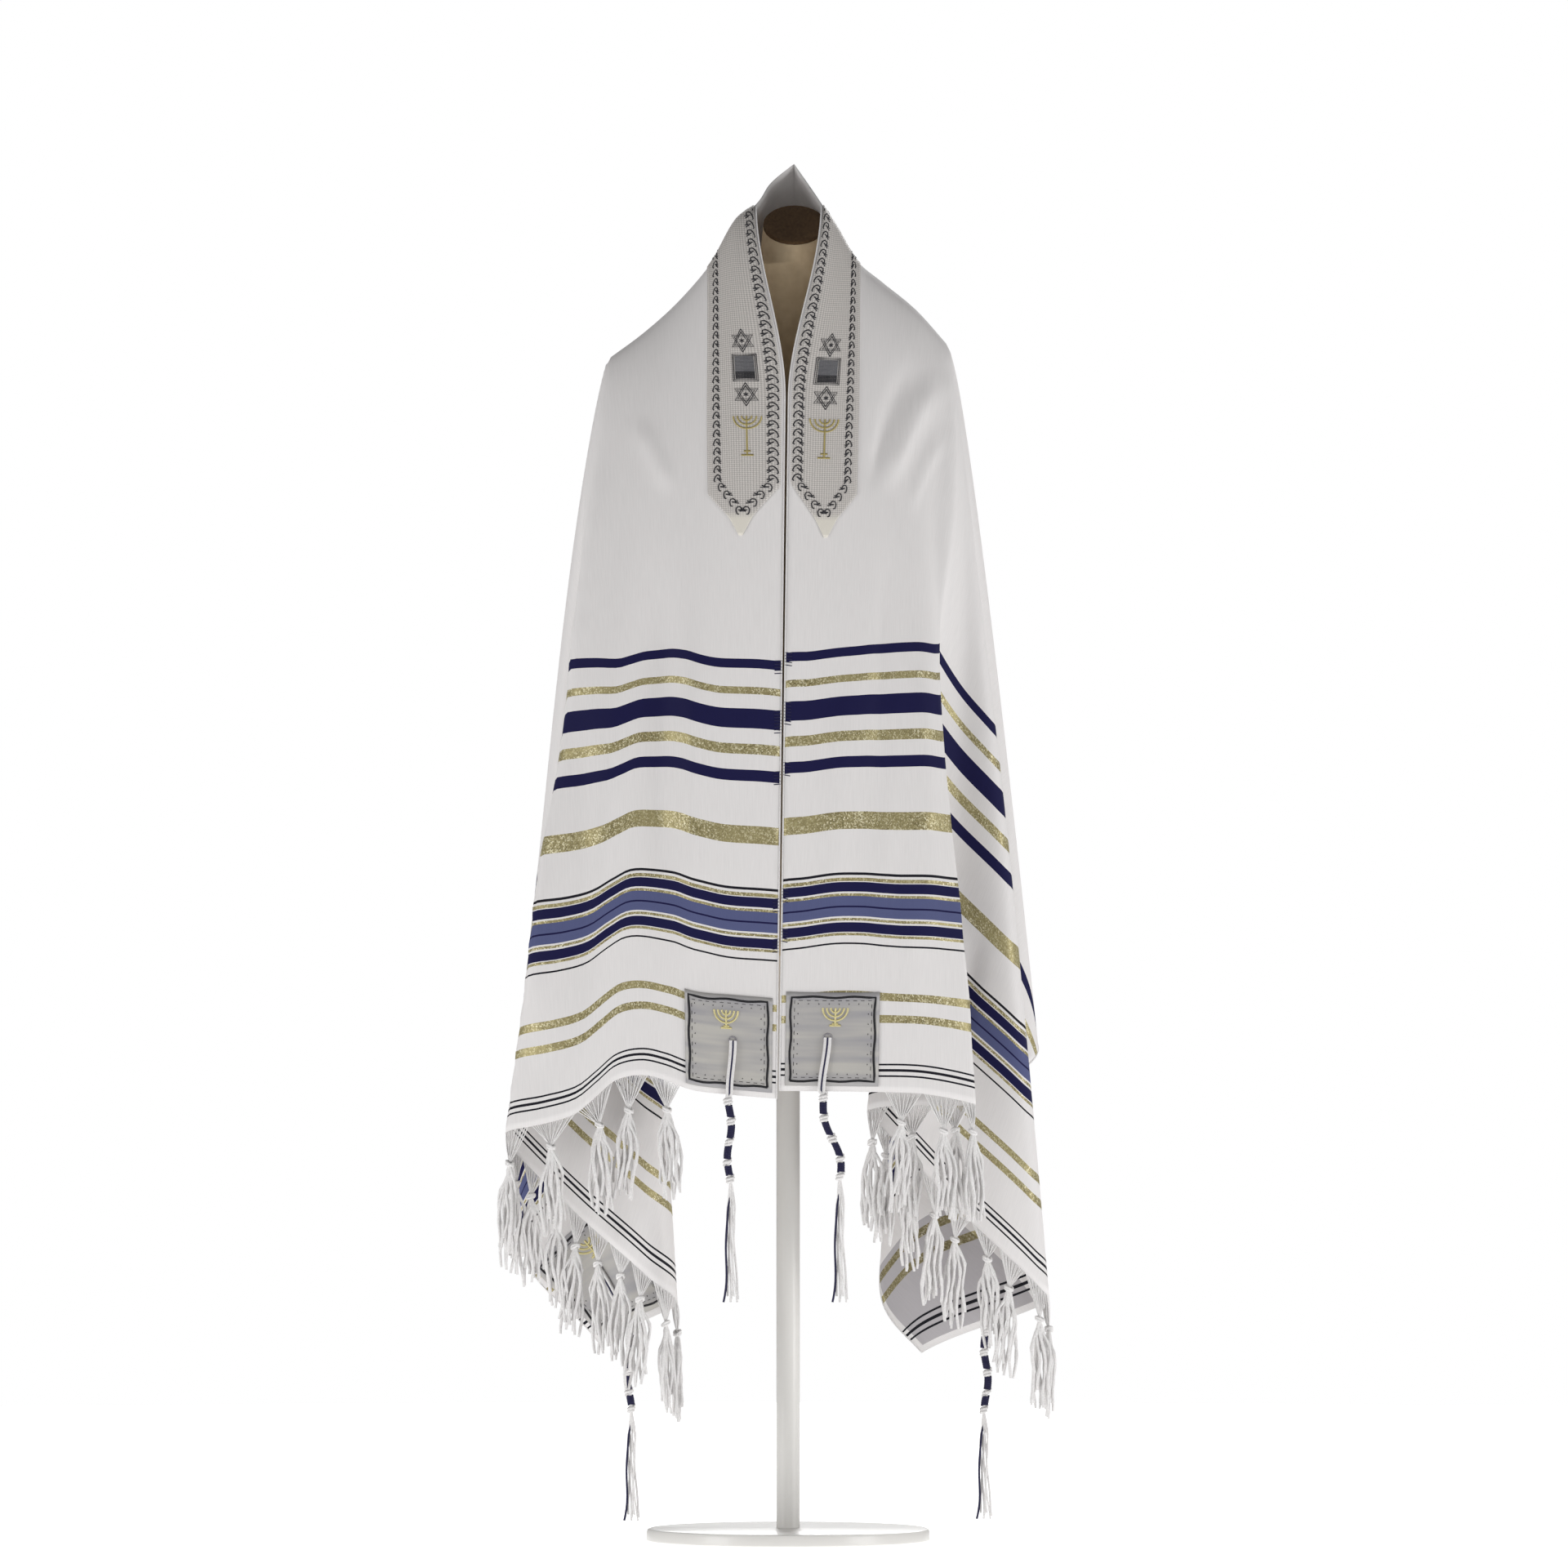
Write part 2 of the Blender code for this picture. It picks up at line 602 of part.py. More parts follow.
def ring_across(centre, along, radius):
    """A round ring of points square to a direction, starting from its side nearest +X."""
    along = along / np.linalg.norm(along)
    first = np.cross(along, (0, 1, 0))
    first /= np.linalg.norm(first)
    second = np.cross(along, first)
    turns = [2 * math.pi * i / TZITZIT_SIDES for i in range(TZITZIT_SIDES)]
    return [centre + radius * (first * math.cos(t) + second * math.sin(t)) for t in turns]


def dress_form(surface):
    """The limbless torso, with the neck up to its slanted cap."""
    rings = [ellipse((0, 0, z), w, d, FORM_SIDES) for z, w, d in FORM_SECTIONS]
    for place, deep in SHOULDER_SECTIONS:
        left = eased(SUPPORT_LEFT, place)
        right = eased(SUPPORT_RIGHT, place)
        middle = (left[0] + right[0]) / 2
        half = (right[0] - left[0]) / 2
        height = (left[2] + right[2]) / 2 - SHOULDER_CLEAR - WALL
        ring = []
        for x, y, z in ellipse((middle, 0, height), half - SHOULDER_CLEAR, deep, FORM_SIDES):
            share = (x - middle) / half
            ring.append((x, y, z + share * (right[2] - left[2]) / 2))
        rings.append(ring)
    tilt = math.tan(CAP_SLANT)
    rings.append(ellipse((NECK_X, 0, 1.312), 0.036, 0.035, FORM_SIDES, 0.2 * tilt))
    top = CAP_Z - CAP_THICK - SEAM_GAP
    rings.append(ellipse((NECK_X, 0, top), NECK_HALF, NECK_DEEP, FORM_SIDES, tilt))
    bm = bmesh.new()
    loft(bm, rings)
    return finished(bm, "dress_form", surface)


def neck_cap(surface):
    """The slanted oval lid on the neck."""
    tilt = math.tan(CAP_SLANT)
    rows = ((CAP_Z - CAP_THICK, NECK_HALF), (CAP_Z - 0.001, NECK_HALF), (CAP_Z, NECK_HALF - 0.001))
    bm = bmesh.new()
    deeper = NECK_DEEP - NECK_HALF
    loft(bm, [ellipse((NECK_X, 0, z), w, w + deeper, FORM_SIDES, tilt) for z, w in rows])
    return finished(bm, "neck_cap", surface)


def turned(name, profile, sides, surface):
    """A solid turned about the stand's axis. Profile columns: radius, height, from the foot up."""
    bm = bmesh.new()
    loft(bm, [ellipse((0, 0, z), r, r, sides) for r, z in profile])
    return finished(bm, name, surface)


def main():
    for old in list(bpy.data.objects):
        bpy.data.objects.remove(old)
    woven = material("woven cloth", "E4E2E4", 0.75)
    jacquard = material("silver jacquard", "C9C6C6", 0.55)
    satin = material("grey satin", "B5B3B6", 0.50)
    thread = material("white thread", "EDEBE8", 0.80)
    linen = material("beige linen", "A8937A", 0.85)
    wood = material("dark wood", "4A3325", 0.50)
    paint = material("pale painted steel", "D8D5CF", 0.40)
    shawl(woven)
    atarah(jacquard)
    for word, (side, *_) in SIDES.items():
        for place, at_back in (("front", False), ("back", True)):
            corner_patch(f"patch_{place}_{word}", side, at_back, satin)
            tzitzit(f"tzitzit_{place}_{word}", side, at_back, thread)
        fringe(f"fringe_{word}", side, thread)
    dress_form(linen)
    neck_cap(wood)
    pole = ((POLE_RADIUS, BASE_THICK + SEAM_GAP), (POLE_RADIUS, FORM_FOOT - SEAM_GAP))
    turned("pole", pole, 20, paint)
    edge = 0.004
    plate = (
        (BASE_RADIUS - edge / 2, 0),
        (BASE_RADIUS, edge / 2),
        (BASE_RADIUS, BASE_THICK - edge),
        (BASE_RADIUS - edge, BASE_THICK),
    )
    turned("base", plate, 40, paint)


main()
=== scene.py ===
"""The looks of a tallit, the fringed Jewish prayer shawl, draped on a limbless dress form.

Metres, +Z up, the wearer's front towards -Y, the origin at the middle of the stand's underside.
"""

import functools
import math

import bmesh
import bpy
import numpy as np
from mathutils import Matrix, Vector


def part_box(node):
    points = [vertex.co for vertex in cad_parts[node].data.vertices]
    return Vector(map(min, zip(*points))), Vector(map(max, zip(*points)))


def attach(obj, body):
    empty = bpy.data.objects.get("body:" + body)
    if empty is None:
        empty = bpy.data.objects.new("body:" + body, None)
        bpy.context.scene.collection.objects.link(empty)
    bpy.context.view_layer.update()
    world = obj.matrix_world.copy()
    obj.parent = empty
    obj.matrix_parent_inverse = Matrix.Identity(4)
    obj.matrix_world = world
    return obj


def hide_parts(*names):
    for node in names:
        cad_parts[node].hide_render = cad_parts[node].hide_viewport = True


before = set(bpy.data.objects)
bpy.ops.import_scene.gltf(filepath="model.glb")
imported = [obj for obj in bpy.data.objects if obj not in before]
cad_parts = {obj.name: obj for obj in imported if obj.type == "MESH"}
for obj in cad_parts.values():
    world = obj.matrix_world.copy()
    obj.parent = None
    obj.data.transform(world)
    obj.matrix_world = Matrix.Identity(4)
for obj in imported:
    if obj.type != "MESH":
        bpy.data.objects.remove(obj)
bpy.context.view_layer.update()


# The stand: a flat round steel plate and a straight tube that the form slides on. Both are
# turned, their edges eased, and sprayed with pale semi-gloss paint that shows a slight orange peel.
POLE_RADIUS = 0.012
EDGE_ROUND = 0.004
WASHER_RADIUS = 2 * POLE_RADIUS
WASHER_HIGH = 0.0002
WASHER_EASED = 0.002
TURNED_STEPS = 96


def linear(colour):
    """Linear RGBA of an sRGB hex colour."""
    parts = [int(colour[i : i + 2], 16) / 255 for i in (0, 2, 4)]
    return (*[c / 12.92 if c < 0.04045 else ((c + 0.055) / 1.055) ** 2.4 for c in parts], 1.0)


def add_node(tree, kind, sockets=None, **settings):
    """A shader node with its settings. A socket is given a value, or another node's output."""
    made = tree.nodes.new("ShaderNode" + kind)
    for name, value in settings.items():
        setattr(made, name, value)
    for name, value in (sockets or {}).items():
        if isinstance(value, bpy.types.NodeSocket):
            tree.links.new(value, made.inputs[name])
        else:
            made.inputs[name].default_value = value
    return made


def new_material(name):
    """A material, its node tree and its Principled shader."""
    made = bpy.data.materials.new(name)
    made.use_nodes = True
    return made, made.node_tree, made.node_tree.nodes["Principled BSDF"]


def add_object(name, data):
    """A new object in the scene."""
    made = bpy.data.objects.new(name, data)
    bpy.context.scene.collection.objects.link(made)
    return made


def mesh_from(bm, name, material):
    """The finished bmesh as a mesh with its material."""
    mesh = bpy.data.meshes.new(name)
    bm.to_mesh(mesh)
    bm.free()
    mesh.materials.append(material)
    return mesh


def piece_from(bm, name, material):
    """The finished bmesh as a smooth object that rides on the part's one body."""
    made = add_object(name, mesh_from(bm, name, material))
    made.data.shade_smooth()
    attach(made, "root")
    return made


def turned(profile, name, material):
    """A closed solid spun about the stand's axis from a profile of (radius, height)."""
    bm = bmesh.new()
    corners = [bm.verts.new((radius, 0, height)) for radius, height in profile]
    for first, second in zip(corners, corners[1:]):
        bm.edges.new((first, second))
    bmesh.ops.spin(
        bm,
        geom=bm.verts[:] + bm.edges[:],
        cent=(0, 0, 0),
        axis=(0, 0, 1),
        angle=2 * math.pi,
        steps=TURNED_STEPS,
        use_merge=True,
    )
    bmesh.ops.remove_doubles(bm, verts=bm.verts, dist=1e-6)
    bmesh.ops.recalc_face_normals(bm, faces=bm.faces)
    made = piece_from(bm, name, material)
    made.data.set_sharp_from_angle(angle=math.radians(35))
    return made


painted_steel, tree, shader = new_material("painted steel")
shader.inputs["Base Color"].default_value = linear("E2E0DC")
shader.inputs["Roughness"].default_value = 0.38
shader.inputs["Coat Weight"].default_value = 0.15
place = add_node(tree, "TexCoord").outputs["Object"]
# Sprayed paint has ripples of about 2 mm
peel = add_node(tree, "TexNoise", {"Vector": place, "Scale": 500.0, "Detail": 2.0}).outputs["Fac"]
bump = add_node(tree, "Bump", {"Height": peel, "Strength": 0.08, "Distance": 0.0002})
tree.links.new(bump.outputs["Normal"], shader.inputs["Normal"])

_, base_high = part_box("base")
base_radius = base_high.x
base_top = base_high.z
base = turned(
    (
        (0, 0),
        (base_radius - EDGE_ROUND / 2, 0),
        (base_radius, EDGE_ROUND / 2),
        (base_radius, base_top - EDGE_ROUND),
        (base_radius - 0.3 * EDGE_ROUND, base_top - 0.3 * EDGE_ROUND),
        (base_radius - EDGE_ROUND, base_top),
        (WASHER_RADIUS, base_top),
        (WASHER_RADIUS - WASHER_EASED, base_top + WASHER_HIGH),
        (0, base_top + WASHER_HIGH),
    ),
    "stand_base",
    painted_steel,
)
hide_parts("base")

pole_low, pole_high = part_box("pole")
pole = turned(
    (
        (0, pole_low.z),
        (POLE_RADIUS, pole_low.z),
        (POLE_RADIUS, pole_high.z),
        (0, pole_high.z),
    ),
    "stand_pole",
    painted_steel,
)
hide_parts("pole")


# The dress form: a limbless torso of papier-mache under a tight cover of beige linen, with a
# seam down the middle. The shawl hides all of it but the chest in the V and the neck.
linen, tree, shader = new_material("beige linen cover")
place = add_node(tree, "TexCoord").outputs["Object"]
# Linen threads are about 0.45 mm apart
thread_lines = {"Vector": place, "Scale": 700.0, "Distortion": 1.5}
upright = add_node(tree, "TexWave", {**thread_lines, "Detail": 1.0}).outputs["Fac"]
level = add_node(tree, "TexWave", thread_lines, bands_direction="Z").outputs["Fac"]
weave = add_node(tree, "Math", {0: upright, 1: level}, operation="MULTIPLY").outputs["Value"]
slubs = add_node(tree, "TexNoise", {"Vector": place, "Scale": 90.0, "Detail": 6.0}).outputs["Fac"]
mottle = add_node(tree, "MapRange", {"Value": slubs, "From Min": 0.3, "From Max": 0.7})
mottled = {0: mottle.outputs["Result"], 6: linear("DCC39E"), 7: linear("EAD2AE")}
linen_colour = add_node(tree, "Mix", mottled, data_type="RGBA")
tree.links.new(linen_colour.outputs[2], shader.inputs["Base Color"])
shader.inputs["Roughness"].default_value = 0.85
shader.inputs["Sheen Weight"].default_value = 0.2
bump = add_node(tree, "Bump", {"Height": weave, "Strength": 0.25, "Distance": 0.0003})
tree.links.new(bump.outputs["Normal"], shader.inputs["Normal"])

bm = bmesh.new()
bm.from_mesh(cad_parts["dress_form"].data)
bmesh.ops.remove_doubles(bm, verts=bm.verts, dist=1e-6)
torso = piece_from(bm, "form_torso", linen)
torso.data.set_sharp_from_angle(angle=math.radians(60))
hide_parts("dress_form")

# The neck cap's dark brown is partly the turned wood's own colour and partly painted shade of the
# hollow inside the hood
wood_with_painted_shade, tree, shader = new_material("turned wood with painted shade")
place = add_node(tree, "TexCoord").outputs["Object"]
long_grain = {"Vector": place, "Scale": (60.0, 12.0, 60.0)}
stretch = add_node(tree, "Mapping", long_grain).outputs["Vector"]
grain = add_node(tree, "TexNoise", {"Vector": stretch, "Scale": 6.0, "Detail": 8.0}).outputs["Fac"]
cap_wood_and_shade_colour = add_node(tree, "ValToRGB", {"Fac": grain})
cap_wood_and_shade_colour.color_ramp.elements[0].position = 0.3
cap_wood_and_shade_colour.color_ramp.elements[0].color = linear("584330")
cap_wood_and_shade_colour.color_ramp.elements[1].position = 0.7
cap_wood_and_shade_colour.color_ramp.elements[1].color = linear("6A533A")
tree.links.new(cap_wood_and_shade_colour.outputs["Color"], shader.inputs["Base Color"])
shader.inputs["Roughness"].default_value = 0.7
shader.inputs["Specular IOR Level"].default_value = 0.15
bump = add_node(tree, "Bump", {"Height": grain, "Strength": 0.1, "Distance": 0.0003})
tree.links.new(bump.outputs["Normal"], shader.inputs["Normal"])

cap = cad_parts["neck_cap"]
cap.data.materials.clear()
cap.data.materials.append(wood_with_painted_shade)


# The shawl: one rectangle of smooth white cloth, loom-woven with navy, slate, black and gold
# lurex stripes towards both ends. It lies round the neck and over the shoulders, with both ends
# in front. A point of it is named by a, from the long edge at the neck, and s, from the centre
# back: minus is the left side. It hangs in straight fall lines from a support line, which is the
# neck edge and the shoulder ridge, to the cloth's outer edge, measured by e from the front corner.
WIDTH = 0.80
HALF = 1.00
EDGE_END = WIDTH + HALF
CLOTH_THICK = 0.0012
NECK_S = 0.085
TIP_A = 0.17
TIP_S = 0.25
BACK_NECK_S = 0.10
ROUND_X = 0.8
ROUND_Y = 0.5
FRONT_Y = 0.34
FOLD_OPENS = 0.55
FOLD_TURNS = 0.10
DRAWN_IN = (0.20, 0.25, 0.75)
EDGE_SWAY = 0.0115
EDGE_CLOSED = 0.22
EDGE_ZONE = 0.12
WARP_END = 0.43
RIDGE_ROW = 0.14

# The support line. Columns: place on it (-1 centre back, 0 side of the neck, 1 tip of the
# shoulder), x, y, z
SUPPORT_LEFT = (
    (-1.00, 0.0060, 0.058, 1.411),
    (-0.50, -0.0175, 0.045, 1.391),
    (0.00, -0.0330, 0.000, 1.367),
    (0.12, -0.0525, 0.000, 1.352),
    (0.35, -0.0780, 0.000, 1.308),
    (0.58, -0.1120, 0.000, 1.268),
    (0.80, -0.1475, 0.000, 1.236),
    (1.00, -0.1840, 0.000, 1.209),
)
SUPPORT_RIGHT = (
    (-1.00, 0.0060, 0.058, 1.411),
    (-0.50, 0.0190, 0.045, 1.392),
    (0.00, 0.0340, 0.000, 1.368),
    (0.12, 0.0480, 0.000, 1.346),
    (0.35, 0.0700, 0.000, 1.310),
    (0.58, 0.0970, 0.000, 1.287),
    (0.80, 0.1310, 0.000, 1.259),
    (1.00, 0.1640, 0.000, 1.222),
)

# The outer edge where the fall lines end. Columns: e, x, y, z
EDGE_LEFT = (
    (0.000, -0.0116, -0.150, 0.456),  # front corner
    (0.050, -0.0570, -0.152, 0.460),
    (0.095, -0.0980, -0.153, 0.465),
    (0.128, -0.1250, -0.150, 0.475),
    (0.160, -0.1500, -0.146, 0.480),  # top of the hem's wave
    (0.190, -0.1760, -0.144, 0.474),
    (0.215, -0.1970, -0.147, 0.456),
    (0.235, -0.2170, -0.149, 0.440),
    (0.265, -0.2500, -0.141, 0.430),
    (0.300, -0.2870, -0.122, 0.421),  # outer fold of the front panel
    (0.335, -0.2800, -0.095, 0.403),
    (0.470, -0.2120, -0.086, 0.335),
    (0.600, -0.1430, -0.114, 0.275),
    (0.665, -0.1130, -0.082, 0.248),  # inner fold
    (0.725, -0.1360, -0.030, 0.232),
    (0.800, -0.1950, 0.010, 0.204),  # back corner
    (0.900, -0.2620, 0.012, 0.275),
    (0.990, -0.2790, 0.024, 0.349),
    (1.120, -0.2830, 0.070, 0.440),  # outermost fold
    (1.230, -0.2620, 0.105, 0.490),
    (1.320, -0.2600, 0.155, 0.535),
    (1.400, -0.2250, 0.150, 0.560),
    (1.490, -0.2020, 0.170, 0.582),
    (1.550, -0.1720, 0.158, 0.590),
    (1.680, -0.0880, 0.153, 0.604),
    (1.800, 0.0000, 0.150, 0.611),  # centre back
)
EDGE_RIGHT = (
    (0.000, -0.0090, -0.150, 0.464),  # front corner
    (0.090, 0.0800, -0.153, 0.463),
    (0.150, 0.1370, -0.148, 0.461),
    (0.215, 0.1900, -0.130, 0.450),  # outer fold of the front panel
    (0.245, 0.1780, -0.108, 0.448),
    (0.340, 0.0830, -0.096, 0.444),  # inner fold
    (0.375, 0.0960, -0.078, 0.425),
    (0.500, 0.1700, -0.044, 0.345),
    (0.630, 0.2540, -0.044, 0.264),
    (0.670, 0.2660, -0.016, 0.248),  # outermost fold
    (0.715, 0.2420, 0.014, 0.234),
    (0.800, 0.1370, 0.030, 0.192),  # back corner
    (0.870, 0.0970, 0.040, 0.243),
    (0.930, 0.0980, 0.052, 0.310),
    (1.010, 0.1080, 0.064, 0.385),
    (1.130, 0.2000, 0.066, 0.452),
    (1.215, 0.2560, 0.092, 0.497),
    (1.305, 0.2360, 0.138, 0.535),
    (1.390, 0.2150, 0.168, 0.560),
    (1.475, 0.1850, 0.158, 0.580),
    (1.550, 0.1600, 0.158, 0.592),
    (1.680, 0.0830, 0.153, 0.604),
    (1.800, 0.0000, 0.150, 0.611),  # centre back
)

# What the folds open out of, close under the tip of the shoulder. Columns: e, x, y
CALM_LEFT = (
    (0.300, -0.287, -0.122),
    (0.800, -0.303, -0.040),
    (1.200, -0.285, 0.080),
    (1.550, -0.172, 0.158),
)
CALM_RIGHT = (
    (0.215, 0.190, -0.130),
    (0.800, 0.262, -0.040),
    (1.200, 0.262, 0.080),
    (1.550, 0.160, 0.158),
)
# Soft creases listed one by one, ridges and troughs along straight lines on the cloth. Columns:
# side, from a, from s, to a, to s, half width, height
CREASES = (
    (1, 0.168, 0.272, 0.110, 0.400, 0.011, 0.0065),
    (1, 0.140, 0.262, 0.082, 0.390, 0.013, -0.0050),
    (1, 0.182, 0.330, 0.142, 0.425, 0.006, 0.0028),
    (1, 0.110, 0.420, 0.095, 0.800, 0.016, -0.0045),
    (1, 0.160, 0.500, 0.150, 0.930, 0.020, 0.0053),
    (1, 0.055, 0.560, 0.050, 0.860, 0.014, 0.0037),
    (1, 0.120, 0.700, 0.125, 0.960, 0.009, -0.0024),
    (-1, 0.180, 0.330, 0.235, 0.600, 0.012, 0.0045),
    (-1, 0.120, 0.420, 0.140, 0.860, 0.018, -0.0053),
    (-1, 0.085, 0.500, 0.090, 0.900, 0.015, 0.0045),
    (-1, 0.210, 0.560, 0.225, 0.940, 0.014, -0.0045),
    (-1, 0.255, 0.620, 0.262, 0.960, 0.012, 0.0045),
    (-1, 0.150, 0.300, 0.110, 0.390, 0.009, 0.0033),
    (-1, 0.430, 0.700, 0.500, 0.960, 0.016, 0.0045),
    (1, 0.420, 0.720, 0.450, 0.950, 0.014, -0.0037),
    (-1, 0.240, 0.060, 0.560, 0.090, 0.018, 0.0060),
    (-1, 0.300, 0.170, 0.700, 0.240, 0.020, -0.0060),
    (1, 0.260, 0.030, 0.640, 0.040, 0.016, -0.0053),
    (1, 0.220, 0.130, 0.680, 0.170, 0.020, 0.0067),
    (1, 0.400, 0.240, 0.740, 0.300, 0.015, -0.0045),
)
# How far the stripes ride up where the folds pull on the front panels. Columns: a, left, right.
# The pull sets in and fades again along s.
PULL_SETS_IN = (0.45, 0.54)
PULL_FADES = (0.86, 0.96)
PULLED_UP = (
    (0.000, 0.0000, 0.0040),
    (0.012, -0.0005, 0.0055),
    (0.050, -0.0005, 0.0115),
    (0.080, 0.0035, 0.0115),
    (0.110, 0.0050, 0.0075),
    (0.140, 0.0045, 0.0055),
    (0.170, 0.0090, 0.0070),
    (0.200, 0.0130, 0.0100),
    (0.240, 0.0105, 0.0125),
    (0.300, 0.0080, 0.0100),
    (0.450, 0.0000, 0.0000),
)
CREASE_FADE = 1 / 3
# Sign of x, the three tables, how the front panel's outer fold rounds away in x, as a power of
# the drop, and how far it is drawn in under the arm
LEFT = (-1, SUPPORT_LEFT, EDGE_LEFT, CALM_LEFT, 1.0, 0.006)
RIGHT = (1, SUPPORT_RIGHT, EDGE_RIGHT, CALM_RIGHT, 1.25, 0.024)


def eased(rows, key):
    """Smooth values at each key through a table's rows, whose first column is the key."""
    table = np.array(rows, float)
    at, values = table[:, 0], table[:, 1:]
    slopes = np.empty_like(values)
    slopes[1:-1] = (values[2:] - values[:-2]) / (at[2:] - at[:-2])[:, None]
    slopes[0] = (values[1] - values[0]) / (at[1] - at[0])
    slopes[-1] = (values[-1] - values[-2]) / (at[-1] - at[-2])
    key = np.clip(np.asarray(key, float), at[0], at[-1])
    i = np.clip(np.searchsorted(at, key, side="right") - 1, 0, len(at) - 2)
    step = at[i + 1] - at[i]
    t = ((key - at[i]) / step)[..., None]
    step = step[..., None]
    return (
        (2 * t**3 - 3 * t**2 + 1) * values[i]
        + (t**3 - 2 * t**2 + t) * step * slopes[i]
        + (3 * t**2 - 2 * t**3) * values[i + 1]
        + (t**3 - t**2) * step * slopes[i + 1]
    )


def rise(t):
    """A soft step from 0 to 1."""
    t = np.clip(t, 0, 1)
    return t * t * (3 - 2 * t)


def support_place(e, fold_e):
    """Where on the support line the fall line that ends at e starts."""
    stops = (0, fold_e, EDGE_END - TIP_S, EDGE_END - BACK_NECK_S, EDGE_END)
    return np.interp(e, stops, (0, 1, 1, 0, -1))


def fall_line_ends(e, fold_e):
    """The cloth distances (a, s) where the fall line at e starts and ends."""
    place = support_place(e, fold_e)
    top_a = np.clip(place, 0, 1) * TIP_A
    top_s = np.where(place < 0, (1 + place) * NECK_S, NECK_S + place * (TIP_S - NECK_S))
    return top_a, top_s, np.minimum(e, WIDTH), HALF - np.maximum(e - WIDTH, 0)


def fall_line_at(a, s, fold_e):
    """The e of the fall line through each cloth point, and how far down that line the point is."""
    ridge_s = NECK_S + (TIP_S - NECK_S) * np.minimum(a / TIP_A, 1)
    behind = s < np.where(a < TIP_A, ridge_s, TIP_S)
    low = np.where(behind, EDGE_END - TIP_S, 0.0)
    high = np.where(behind, EDGE_END, EDGE_END - TIP_S)
    for _ in range(40):
        e = (low + high) / 2
        top_a, top_s, end_a, end_s = fall_line_ends(e, fold_e)
        beyond = (end_s - top_s) * (a - top_a) - (end_a - top_a) * (s - top_s) > 0
        low = np.where(beyond, e, low)
        high = np.where(beyond, high, e)
    top_a, top_s, end_a, end_s = fall_line_ends(e, fold_e)
    run = np.hypot(a - top_a, s - top_s)
    return e, np.clip(run / np.hypot(end_a - top_a, end_s - top_s), 0, 1)


def drawn_in(drop):
    """The share that the fold is drawn in at a drop below the tip of the shoulder."""
    full, eases, free = DRAWN_IN
    return rise(drop / full) * (1 - rise((drop - eases) / (free - eases)))


def fan_table(edge, calm, fold_round, tip):
    """The rays of the fan that hangs from the tip of the shoulder. Columns: the ray's turn on the
    cloth, its way in x and y for a unit drop, the same before its folds open, how it rounds in x,
    how much of the drawing in it takes, drop for its length"""
    fold_e, open_e = calm[0][0], calm[-1][0]
    rows = []
    for e, x, y, z in edge:
        if fold_e <= e <= open_e:
            end_a = min(e, WIDTH) - TIP_A
            end_s = HALF - max(e - WIDTH, 0) - TIP_S
            drop = tip[2] - z
            calm_x, calm_y = eased(calm, e)
            turned = float(rise((e - fold_e) / FOLD_TURNS))
            power = fold_round + (ROUND_X - fold_round) * turned
            wide, deep = drop**power, drop**ROUND_Y
            ways = ((x - tip[0]) / wide, y / deep, (calm_x - tip[0]) / wide, calm_y / deep)
            turn = math.atan2(end_a, end_s)
            rows.append((turn, *ways, power, 1 - turned, drop / math.hypot(end_a, end_s)))
    return rows


def draped(a, s, side):
    """Points of the draped cloth at cloth distances a and s on one side."""
    sign, support, edge, calm, fold_round, draw = side
    fold_e = calm[0][0]
    e, v = fall_line_at(a, s, fold_e)
    top = eased(support, support_place(e, fold_e))
    end = eased(edge, e)
    front = np.clip(e / fold_e, 0, 1)
    across = v ** (1 + (fold_round - 1) * front)
    closing = rise(v / EDGE_CLOSED)
    at_edge = np.clip(1 - e / EDGE_ZONE, 0, 1)
    across += (closing - across) * at_edge
    outwards = v ** (FRONT_Y + (ROUND_Y - FRONT_Y) * front)
    x = top[..., 0] + (end[..., 0] - top[..., 0]) * across
    x += EDGE_SWAY * closing * (1 - v) * at_edge
    in_front = front**3 * (e <= fold_e)
    x -= sign * draw * drawn_in((top[..., 2] - end[..., 2]) * v) * in_front
    y = top[..., 1] + (end[..., 1] - top[..., 1]) * outwards
    z = top[..., 2] + (end[..., 2] - top[..., 2]) * v
    hung = np.stack([x, y, z], axis=-1)
    tip = np.array(support[-1][1:])
    turn = np.arctan2(a - TIP_A, s - TIP_S)
    fan = np.moveaxis(eased(fan_table(edge, calm, fold_round, tip), turn), -1, 0)
    way_x, way_y, calm_x, calm_y, power, taken, steep = fan
    drop = np.hypot(a - TIP_A, s - TIP_S) * steep
    opened = rise(drop / FOLD_OPENS)
    x = tip[0] + (calm_x + (way_x - calm_x) * opened) * drop**power
    x -= sign * draw * drawn_in(drop) * taken
    y = (calm_y + (way_y - calm_y) * opened) * drop**ROUND_Y
    fanned = np.stack([x, y, tip[2] - drop], axis=-1)
    in_fan = (e > fold_e) & (e < calm[-1][0])
    return np.where(in_fan[..., None], fanned, hung)


def row_s(row, a):
    """The cloth distance s at a row of the mesh, which bends to follow the shoulder ridge."""
    size = np.abs(row)
    ridge = NECK_S + (TIP_S - NECK_S) * np.minimum(a / TIP_A, 1)
    below = ridge + (size - RIDGE_ROW) * (WARP_END - ridge) / (WARP_END - RIDGE_ROW)
    near = np.where(size < RIDGE_ROW, size * ridge / RIDGE_ROW, below)
    return np.sign(row) * np.where(size < WARP_END, near, size)


def cloth_point(a, s):
    """Points of the middle of the cloth without its creases, on both sides of the centre back."""
    size = np.abs(s)
    return np.where((s < 0)[..., None], draped(a, size, LEFT), draped(a, size, RIGHT))


